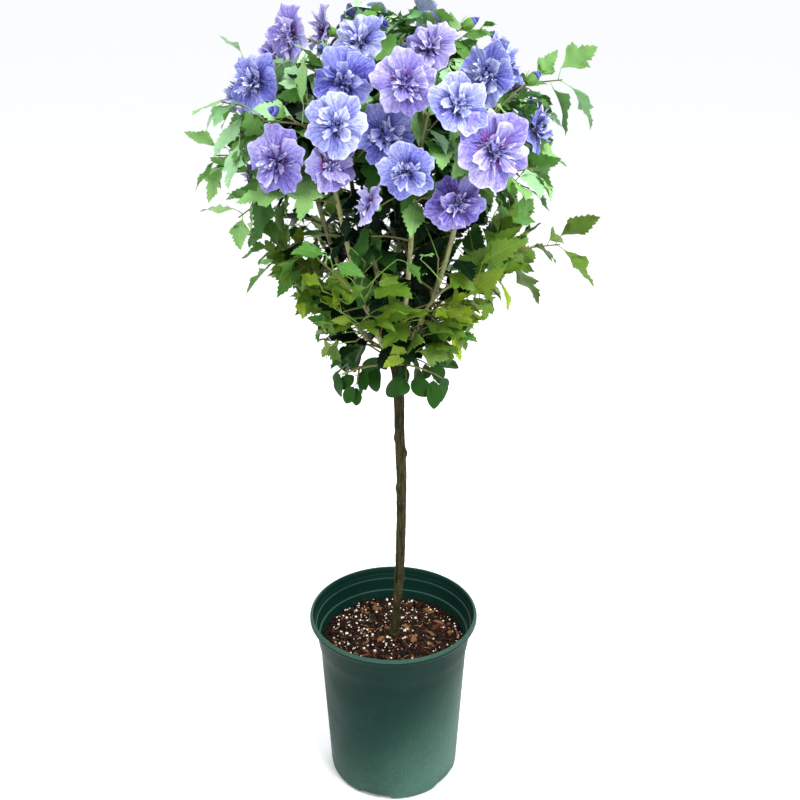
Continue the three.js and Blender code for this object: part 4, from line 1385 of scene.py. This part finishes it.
def pot_profile(look):
    """The pot's section as (radius, height): out along the base, up, over the lip, down inside."""
    rim, top, foot, step = look.rim_radius, look.height, POT_FOOT, POT_STEP
    collar, inner_foot = top - look.lip_depth, foot - look.wall
    base = [(0.0, 0.0), (0.05, 0.0), (0.0985, 0.0), (0.1005, 0.0), (foot - POT_CORNER, 0.0)]
    for turn in map(math.radians, (20, 45, 70, 90)):
        base.append((base[4][0] + POT_CORNER * math.sin(turn), POT_CORNER * 1.3 * (1 - math.cos(turn))))
    corner_top, rise = POT_CORNER * 1.3, step - 0.024 - POT_CORNER * 1.3
    body = [(foot + (POT_SHOULDER - foot) * k / 10, corner_top + rise * k / 10) for k in range(1, 11)]
    collar_step = [
        (0.1229, step - 0.018), (0.1237, step - 0.012), (0.1248, step - 0.006),
        (0.1259, step - 0.001), (0.1268, step + 0.004),
    ]
    collar_foot, collar_top = step + 0.012, collar - 0.005
    collar_wall = [
        (0.1271 + 0.0037 * k / 4, collar_foot + (collar_top - collar_foot) * k / 4) for k in (1, 2, 3, 4)
    ]
    line = [
        (0.1309, collar - 0.0042), (0.1318, collar - 0.0036),
        (0.1318, collar - 0.0028), (0.1309, collar - 0.0022),
    ]
    lip = [
        (0.1312, collar), (rim - 0.004, collar + 0.0002), (rim - 0.0012, collar + 0.0012),
        (rim, collar + 0.004), (rim, top - 0.0042), (rim - 0.0010, top - 0.0014),
        (rim - 0.0030, top), (rim - 0.0048, top - 0.0003), (rim - 0.0062, top - 0.0018),
    ]
    inside = [
        (0.1326, collar + 0.004), (0.1318, collar - 0.0066), (0.1315, collar - 0.0072),
        (0.1288, collar - 0.0076), (0.1283, collar - 0.0082), (0.1278, collar - 0.011), (0.1262, 0.2690),
        (0.1259, 0.2684), (0.1232, 0.2680), (0.1228, 0.2674), (0.1222, 0.2600), (0.1214, step + 0.002),
        (0.1204, step - 0.001), (inner_foot, corner_top), (inner_foot - 0.003, 0.004), (0.0, 0.004),
    ]
    return base + body + collar_step + collar_wall + line + lip + inside


def notch_lift(radius, height, azimuth, look):
    """How far a point of the base is lifted by the drain notches: an arch in the foot."""
    if radius < 0.1000 or height > 0.012:
        return 0.0
    pitch = 360 / look.notches
    away = abs((azimuth - NOTCH_AZIMUTH + pitch / 2) % pitch - pitch / 2)
    arch = min(max((NOTCH_HALF - away) / 3.0, 0), 1)
    smooth = arch * arch * (3 - 2 * arch)
    return smooth * max(look.notch_height - height, 0)


def is_highlit_edge(first, last, look):
    """True on the top of the rolled lip and on the ledges inside, which are given a painted highlight."""
    on_lip = min(first[0], last[0]) > look.rim_radius - 0.0049 and last[1] > look.height - 0.003
    run, rise = first[0] - last[0], first[1] - last[1]
    return on_lip or (0.0001 < run < 0.004 and abs(rise) < 0.3 * run and last[1] > look.height * 0.8)


def build_pot():
    look = settings("pot")
    profile = pot_profile(look)
    rubbed_and_highlit = [is_highlit_edge(first, last, look) for first, last in zip(profile, profile[1:])]
    inner_start = max(i for i, point in enumerate(profile) if point[0] > look.rim_radius - 0.007)
    corners = []
    for i, (radius, height) in enumerate(profile):
        for azimuth in azimuths(POT_SIDES):
            lift = notch_lift(radius, height, azimuth, look) if i < inner_start else 0.0
            corners.append(place(azimuth, radius, height + lift))
    bundle = Bundle()
    bundle.add(corners, (grid_faces(len(profile), POT_SIDES, True), np.repeat(rubbed_and_highlit, POT_SIDES)))
    # The second finish paints a highlight on the lip's top and the inner ledges.
    skins = [pot_plastic("pot_plastic", 0.0), pot_plastic("pot_worn_edge", 0.3)]
    return merge_poles(bundle.piece("pot_shell", skins))


def azimuths(sides):
    return [360 * k / sides for k in range(sides)]


def merge_poles(piece):
    """Welds the corners that meet on the axis, and gives the piece back."""
    weld = piece.modifiers.new("weld", "WELD")
    weld.merge_threshold = 1e-6
    depsgraph = bpy.context.evaluated_depsgraph_get()
    welded = bpy.data.meshes.new_from_object(piece.evaluated_get(depsgraph))
    piece.modifiers.clear()
    piece.data = welded
    return piece


MIX_RADIUS = 0.1202
MIX_PROFILE = ((0.0, 0.262), (0.018, 0.262), (0.05, 0.2602), (0.084, 0.2582), (MIX_RADIUS, 0.2545))
MIX_RINGS, MIX_SIDES = 56, 150
MIX_FOOT = ((0.1075, 0.0095), (0.104, MIX_BOX[0][2]), (0.0, MIX_BOX[0][2]))
# The mix's skins after the peat's own: name, colour, roughness. Their slots have the same order.
MIX_SKINS = (
    ("bark_chip_tan", "735036", 0.85),
    ("bark_chip_red", "48251b", 0.85),
    ("bark_chip_dark", "19100b", 0.85),
    ("bark_chip_brown", "302017", 0.85),
    ("peat_crumb", "110b08", 0.85),
    ("perlite", "f4efe6", 0.7),
    ("perlite_stained", "c9b897", 0.8),
    ("root_fibre", "b08a5a", 0.8),
)
TAN, RED, DARK, _, _, WHITE, STAINED, FIBRE = range(1, 9)


def mix_height(x, y, look):
    """The mix's surface: dished to the wall, level at the stem, lumpy between."""
    radius = math.hypot(x, y)
    rise = np.interp(radius, *zip(*MIX_PROFILE))
    lumps = noise.fractal(Vector((x * 60, y * 60, 0)), 0.8, 2.1, 4)
    calm = min(max((radius - 0.012) / 0.02, 0.15), 1)
    return float(rise) + look.lumps * lumps * calm


def build_mix():
    look = settings("mix")
    stream = Stream(4100)
    bundle = Bundle()
    corners = []
    for i, azimuth in product(range(MIX_RINGS + 1), azimuths(MIX_SIDES)):
        spot = outward(azimuth) * (MIX_RADIUS * i / MIX_RINGS)
        corners.append((spot.x, spot.y, mix_height(spot.x, spot.y, look)))
    corners += [place(azimuth, *spot) for spot in MIX_FOOT for azimuth in azimuths(MIX_SIDES)]
    bundle.add(corners, (grid_faces(MIX_RINGS + 4, MIX_SIDES, True)[:, ::-1], 0))
    for lay, count in (
        (lay_chip, look.chips), (lay_crumb, look.crumbs), (lay_bead, look.beads), (lay_fibre, look.fibres)
    ):
        for _ in range(count):
            lay(bundle, stream, look)
    skins = [peat_crumbs()] + [plain_crumb(*skin) for skin in MIX_SKINS]
    return merge_poles(bundle.piece("mix_surface", skins, smooth=False))


def spot_on_mix(stream, look, inner=0.014, outer=0.116):
    radius = math.sqrt(stream.between(inner**2, outer**2))
    turn = stream() * 2 * math.pi
    x, y = radius * math.sin(turn), -radius * math.cos(turn)
    return Vector((x, y, mix_height(x, y, look)))


def lay_chip(bundle, stream, look):
    """A flake of bark: an uneven flat slab with four to six corners, lying on the mix."""
    large = stream() < 0.3
    length = stream.between(0.012, 0.026) if large else stream.between(0.004, 0.011)
    width = length * stream.between(0.3, 0.62)
    thick = stream.between(0.0012, 0.0028)
    count = 4 + int(stream() * 3)
    spot = spot_on_mix(stream, look, outer=0.116 - length * 0.5)
    turns = [2 * math.pi * (k + 0.5 * stream()) / count for k in range(count)]
    flat = np.array([(length / 2 * math.cos(t), width / 2 * math.sin(t), 0) for t in turns])
    upper = flat * stream.between(0.75, 0.92) + (0, 0, thick)
    slab = np.concatenate([flat, upper])
    slab = turned(slab, 0, stream.between(-0.35, 0.35))
    slab = turned(slab, 1, stream.between(-0.3, 0.3))
    slab = turned(slab, 2, stream() * 2 * math.pi)
    sides = [(k, (k + 1) % count, count + (k + 1) % count, count + k) for k in range(count)]
    upper_face, lower_face = [list(range(count, 2 * count))], [list(range(count))[::-1]]
    tone = TAN + int(stream() * 4) if stream() < 0.8 else TAN
    slab = slab + np.array(spot) - (0, 0, thick * 0.25)
    bundle.add(slab, (sides, tone), (upper_face, tone), (lower_face, tone))


def lay_crumb(bundle, stream, look):
    """A crumb of bark or peat."""
    tone = RED if stream() < 0.14 else DARK + int(stream() * 3)
    lay_nugget(bundle, spot_on_mix(stream, look), stream.between(0.0012, 0.0036), tone, stream)


def lay_bead(bundle, stream, look):
    """A crumb of perlite; more of them lie to the left and back."""
    spot = spot_on_mix(stream, look)
    if spot.x - 0.4 * spot.y > 0.02 and stream() < 0.55:
        spot = spot_on_mix(stream, look)
    size = stream.between(0.0008, 0.0018) if stream() < 0.75 else stream.between(0.0018, 0.0029)
    tone = WHITE if stream() < 0.75 else STAINED
    lay_nugget(bundle, spot + UP * (size * 0.5), size, tone, stream)


NUGGET = (
    (0, 0, 1), (1, 0, 0), (0, 1, 0), (-1, 0, 0), (0, -1, 0), (0, 0, -1),
    (0.62, 0.62, 0.3), (-0.62, 0.62, 0.3), (-0.62, -0.62, 0.3), (0.62, -0.62, 0.3),
)
NUGGET_FACES = (
    (0, 1, 6), (0, 6, 2), (0, 2, 7), (0, 7, 3), (0, 3, 8), (0, 8, 4), (0, 4, 9), (0, 9, 1),
    (5, 6, 1), (5, 2, 6), (5, 7, 2), (5, 3, 7), (5, 8, 3), (5, 4, 8), (5, 9, 4), (5, 1, 9),
)


def lay_nugget(bundle, spot, size, slot, stream):
    """An uneven lump with ten corners."""
    uneven = np.array([stream.between(0.65, 1.25) for _ in range(30)]).reshape(10, 3)
    shape = turned(np.array(NUGGET) * size * uneven, 2, stream() * 6.28)
    shape = turned(shape, 0, stream.between(-0.6, 0.6))
    bundle.add(shape + np.array(spot), (NUGGET_FACES, slot))


def lay_fibre(bundle, stream, look):
    spot = spot_on_mix(stream, look, outer=0.105)
    turn = stream() * 2 * math.pi
    length = stream.between(0.005, 0.016)
    run = Vector((math.cos(turn), math.sin(turn), 0)) * length
    bow = Vector((-run.y, run.x, 0)) * stream.between(-0.4, 0.4)
    start = spot + UP * 0.0012
    end = start + run
    end.z = mix_height(end.x, end.y, look) + 0.0008
    line = Bend(start, (start + end) * 0.5 + bow + UP * 0.002, end)
    tube(bundle, line, taper(0.0005, 0.0003), 4, 4, FIBRE if stream() < 0.5 else DARK)


# ------------------------------------------------------------------ stem, canes and twigs


STEM_SIDES, STEM_STEPS = 36, 230
CANE_SIDES, CANE_STEP = 12, 0.0035
LEAFY_STEM_SIDES, LEAFY_STEM_STEP = 9, 0.006
TWIG_GRID, TWIGLET_GRID = (6, 7), (4, 4)  # sides and steps


class TrunkLine:
    """The stem's middle line, level ring by level ring."""

    def __init__(self):
        self.heights, self.places, self.radii = zip(*TRUNK_LINE)

    def height(self, share):
        return self.heights[0] + (self.heights[-1] - self.heights[0]) * share

    def point(self, share):
        z = self.height(share)
        near = [np.interp(z + d, self.heights, self.places) for d in (-0.012, 0, 0.012)]
        return Vector((sum(near) / 3, 0, z))

    def tangent(self, share):
        return UP

    def radius(self, share, turns):
        z = self.height(share)
        girth = np.interp(z, self.heights, self.radii)
        girth += HEAD_SWELL * math.exp(-(((z - HEAD.z) / HEAD_SPREAD) ** 2))
        reach = np.full(len(turns), girth)
        x, y = np.cos(turns), np.sin(turns)
        for height, azimuth, size in KNOTS:
            side = outward(azimuth)
            towards = np.maximum(0, -x * side.x + y * side.y)
            reach += size * math.exp(-(((z - height) / KNOT_SPREAD) ** 2)) * towards**2
        foot = math.exp(-(((z - self.heights[0]) / 0.006) ** 2))
        reach += 0.0016 * foot * (1 + 0.5 * np.cos(4 * turns + 1))
        relief = settings("bark").relief
        for i, turn in enumerate(turns):
            spot = Vector((1.6 * x[i], 1.6 * y[i], z * 42))
            reach[i] += relief * noise.fractal(spot, 0.7, 2.2, 4)
            reach[i] += 0.5 * relief * noise.noise(Vector((7 * x[i], 7 * y[i], z * 160)))
        return reach


def build_trunk():
    trunk = TrunkLine()
    bundle = Bundle()
    tube(bundle, trunk, trunk.radius, STEM_SIDES, STEM_STEPS, 0)
    return bundle.piece("stem_bark_relief", [stem_bark()])


def cane_radius(first, last, length, seed):
    """A cane's girth: its taper, a swelling at each leaf scar, and uneven bark."""

    def radius(share, turns):
        girth = first + (last - first) * share
        node, beat = divmod(share * length / NODE_SPACING, 1)
        scar = math.exp(-(((beat - 0.5) / 0.07) ** 2))
        side = 1 + 0.6 * np.cos(turns - GOLDEN_ANGLE * node)
        uneven = noise.noise(Vector((share * length * 55, seed, 0)))
        return girth * (1 + 0.13 * scar * side + 0.07 * uneven)

    return radius


def build_canes():
    bundle = Bundle()
    for number, shoot in enumerate(grown_crown().shoots):
        if shoot.cane:
            length = shoot.cane.length()
            girth = cane_radius(*TIERS[shoot.tier]["radius"], length, number)
            tube(bundle, shoot.cane, girth, CANE_SIDES, int(length / CANE_STEP), 0)
    return bundle.piece("cane_bark_relief", [cane_bark()])


def build_twigs():
    """Every limb as far as the last thing it bears."""
    bundle = Bundle()
    for number, limb in enumerate(grown_crown().limbs):
        if limb.borne == 0:
            continue
        line = limb.line.part(min(limb.borne + 0.03, 1))
        if limb.kind == "stem":
            length = line.length()
            girth = cane_radius(*limb.radii, length, 60 + number)
            tube(bundle, line, girth, LEAFY_STEM_SIDES, int(length / LEAFY_STEM_STEP), 0)
        elif limb.kind == "twiglet":
            tube(bundle, line, taper(*limb.radii), *TWIGLET_GRID, 2)
        else:
            tube(bundle, line, taper(*limb.radii), *TWIG_GRID, 1)
    skins = [leaf_skin("stem_young_bark", STEM_BARK, 0.75), leaf_skin("twig_bark", TWIG_BARK, 0.75)]
    return bundle.piece("twigs", skins + [leaf_skin("twig_green", TWIG_GREEN, 0.65)])


def build_joined(name, lay, things, skins):
    """One piece of many like things, each laid by the same function."""
    bundle = Bundle()
    for thing in things:
        lay(bundle, *thing)
    return bundle.piece(name, skins)


def bloom_skins():
    tones = {"eye": EYE, "throat": THROAT}
    tones.update(("blue_%d" % (i + 1), tone) for i, tone in enumerate(BLUE_PETALS))
    tones.update(("pink_%d" % (i + 1), tone) for i, tone in enumerate(PINK_PETALS))
    tones["stamen"] = STAMEN
    petals = [petal_skin("petal_" + name, tone) for name, tone in tones.items()]
    return petals + [leaf_skin("sepal", SEPAL, 0.6)]


# ------------------------------------------------------------------ operators


def take_over(piece, slot, *nodes):
    """Fits a piece into the frame: its body and the solids it stands for. Its slot is not used."""
    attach(piece, "root")
    if nodes:
        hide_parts(*nodes)
    if not len(piece.data.polygons):
        raise RuntimeError(piece.name + " came out empty")


def nodes_named(start):
    return [node for node in frame["nodes"] if node.startswith(start)]


class HIBISCUS_OT_pot(bpy.types.Operator):
    """Turn the nursery pot with its rolled lip, collar and drain notches"""

    bl_idname = "hibiscus.pot"
    bl_label = "Nursery Pot"

    def execute(self, context):
        take_over(build_pot(), "pot", "pot")
        return {"FINISHED"}


class HIBISCUS_OT_mix(bpy.types.Operator):
    """Fill the pot with dark mix, bark chips, perlite and fibres"""

    bl_idname = "hibiscus.mix"
    bl_label = "Potting Mix"

    def execute(self, context):
        take_over(build_mix(), "potting_mix", "potting_mix")
        return {"FINISHED"}


class HIBISCUS_OT_trunk(bpy.types.Operator):
    """Grow the bare stem with its knots and the relief of its bark"""

    bl_idname = "hibiscus.trunk"
    bl_label = "Stem"

    def execute(self, context):
        take_over(build_trunk(), "trunk_bark", "trunk")
        return {"FINISHED"}


class HIBISCUS_OT_canes(bpy.types.Operator):
    """Grow the canes that leave the head of the stem"""

    bl_idname = "hibiscus.canes"
    bl_label = "Canes"

    def execute(self, context):
        take_over(build_canes(), "bough_bark", *nodes_named("bough_"))
        return {"FINISHED"}


class HIBISCUS_OT_twigs(bpy.types.Operator):
    """Grow the leafy stems, twigs and twiglets"""

    bl_idname = "hibiscus.twigs"
    bl_label = "Twigs"

    def execute(self, context):
        take_over(build_twigs(), "foliage")
        return {"FINISHED"}


class HIBISCUS_OT_leaves(bpy.types.Operator):
    """Lay the toothed leaves of each tier, and the smooth ones of the fringe"""

    bl_idname = "hibiscus.leaves"
    bl_label = "Leaves"

    def execute(self, context):
        skins = [leaf_skin("leaf_" + name, look[0], 0.48, look[2]) for name, look in GREENS.items()]
        skins += [leaf_skin("leaf_vein_%d" % (i + 1), shade, 0.5) for i, shade in enumerate(VEINS)]
        for tier in TIERS:
            leaves = [(leaf,) for leaf in grown_crown().leaves if leaf.tier == tier]
            piece = build_joined("leaves_" + tier, lay_leaf, leaves, skins)
            take_over(piece, "foliage", *nodes_named("foliage_" + tier))
        return {"FINISHED"}


class HIBISCUS_OT_blooms(bpy.types.Operator):
    """Open the double blooms and set the buds"""

    bl_idname = "hibiscus.blooms"
    bl_label = "Blooms and Buds"

    def execute(self, context):
        skins = bloom_skins()
        crown = grown_crown()
        blooms = [(bloom, number) for number, bloom in enumerate(crown.blooms)]
        front = len(FRONT_BLOOMS)
        take_over(build_joined("blooms_front", lay_bloom, blooms[:front], skins), "foliage")
        take_over(build_joined("blooms_back", lay_bloom, blooms[front:], skins), "foliage")
        take_over(build_joined("buds", lay_bud, crown.buds, skins), "foliage")
        return {"FINISHED"}


class HIBISCUS_OT_stage(bpy.types.Operator):
    """Set the pale floor, the soft lights and the camera"""

    bl_idname = "hibiscus.stage"
    bl_label = "Stage"

    def execute(self, context):
        build_floor()
        build_lights()
        build_camera()
        return {"FINISHED"}


# ------------------------------------------------------------------ stage

FLOOR_SIZE = 120.0
CAMERA_PLACE = (0.011, -1.5, 1.337)
CAMERA_PITCH = 23.22  # degrees down
CAMERA_LENS = 47.745  # mm, on a 36 mm sensor
LIGHT_TARGET = (0, 0, 0.95)  # in the crown
# Name, place, size, share of the key light's power.
LIGHTS = (
    ("key_light", (1.5, -1.7, 3.0), 1.5, 1.0),
    ("fill_light", (-2.4, -1.6, 1.8), 2.2, 0.22),
    ("back_light", (0.4, 2.4, 2.6), 2.0, 0.4),
)


def build_floor():
    half = FLOOR_SIZE / 2
    bundle = Bundle()
    corners = [(-half, -half, 0), (half, -half, 0), (half, half, 0), (-half, half, 0)]
    bundle.add(corners, ([(0, 1, 2, 3)], 0))
    finish = Finish("floor_paint")
    shade = tuple(settings("stage").floor)
    paler = tuple(min(1.0, channel * 1.04) for channel in shade)
    tint = finish.blend(shade, paler, finish.cloud(finish.place(), 3.0))
    floor = bundle.piece("floor", [finish.done(Base_Color=tint, Roughness=0.9)])


def build_lights():
    look = settings("stage")
    target = Vector(LIGHT_TARGET)
    for name, spot, size, share in LIGHTS:
        lamp = bpy.data.lights.new(name, "AREA")
        lamp.shape = "DISK"
        lamp.size = size
        lamp.energy = look.key * share
        light = bpy.data.objects.new(name, lamp)
        light.location = spot
        light.rotation_euler = (target - light.location).to_track_quat("-Z", "Y").to_euler()
        bpy.context.scene.collection.objects.link(light)
    world = bpy.data.worlds.new("pale_surround")
    world.use_nodes = True
    background = world.node_tree.nodes["Background"]
    background.inputs["Color"].default_value = (0.97, 0.985, 1.0, 1.0)
    background.inputs["Strength"].default_value = look.sky
    bpy.context.scene.world = world
    bpy.context.scene.view_settings.view_transform = "Standard"


def build_camera():
    lens = bpy.data.cameras.new("camera")
    lens.lens = CAMERA_LENS
    lens.sensor_width = 36
    camera = bpy.data.objects.new("camera", lens)
    camera.location = CAMERA_PLACE
    camera.rotation_euler = (math.radians(90 - CAMERA_PITCH), 0, 0)
    bpy.context.scene.collection.objects.link(camera)
    bpy.context.scene.camera = camera


# ------------------------------------------------------------------ panel and registration


class HIBISCUS_PT_panel(bpy.types.Panel):
    """The hibiscus's pieces, in the order they are built"""

    bl_idname = "HIBISCUS_PT_panel"
    bl_label = "Potted Hibiscus"
    bl_space_type = "VIEW_3D"
    bl_region_type = "UI"
    bl_category = "Hibiscus"

    def draw(self, context):
        for operator in OPERATORS:
            self.layout.operator(operator.bl_idname)
        for name, group in SETTING_GROUPS.items():
            box = self.layout.box()
            box.label(text=name.replace("_", " ").capitalize())
            for key in group.__annotations__:
                box.prop(getattr(context.scene, name), key)


OPERATORS = (
    HIBISCUS_OT_pot,
    HIBISCUS_OT_mix,
    HIBISCUS_OT_trunk,
    HIBISCUS_OT_canes,
    HIBISCUS_OT_twigs,
    HIBISCUS_OT_leaves,
    HIBISCUS_OT_blooms,
    HIBISCUS_OT_stage,
)


def register():
    for name, group in SETTING_GROUPS.items():
        bpy.utils.register_class(group)
        setattr(bpy.types.Scene, name, PointerProperty(type=group))
    for kind in (*OPERATORS, HIBISCUS_PT_panel):
        bpy.utils.register_class(kind)


def unregister():
    for kind in (HIBISCUS_PT_panel, *reversed(OPERATORS)):
        bpy.utils.unregister_class(kind)
    for name, group in SETTING_GROUPS.items():
        delattr(bpy.types.Scene, name)
        bpy.utils.unregister_class(group)


def main():
    register()
    bpy.ops.hibiscus.stage()
    bpy.ops.hibiscus.pot()
    bpy.ops.hibiscus.mix()
    bpy.ops.hibiscus.trunk()
    bpy.ops.hibiscus.canes()
    bpy.ops.hibiscus.twigs()
    bpy.ops.hibiscus.leaves()
    bpy.ops.hibiscus.blooms()


if __name__ == "__main__":
    main()
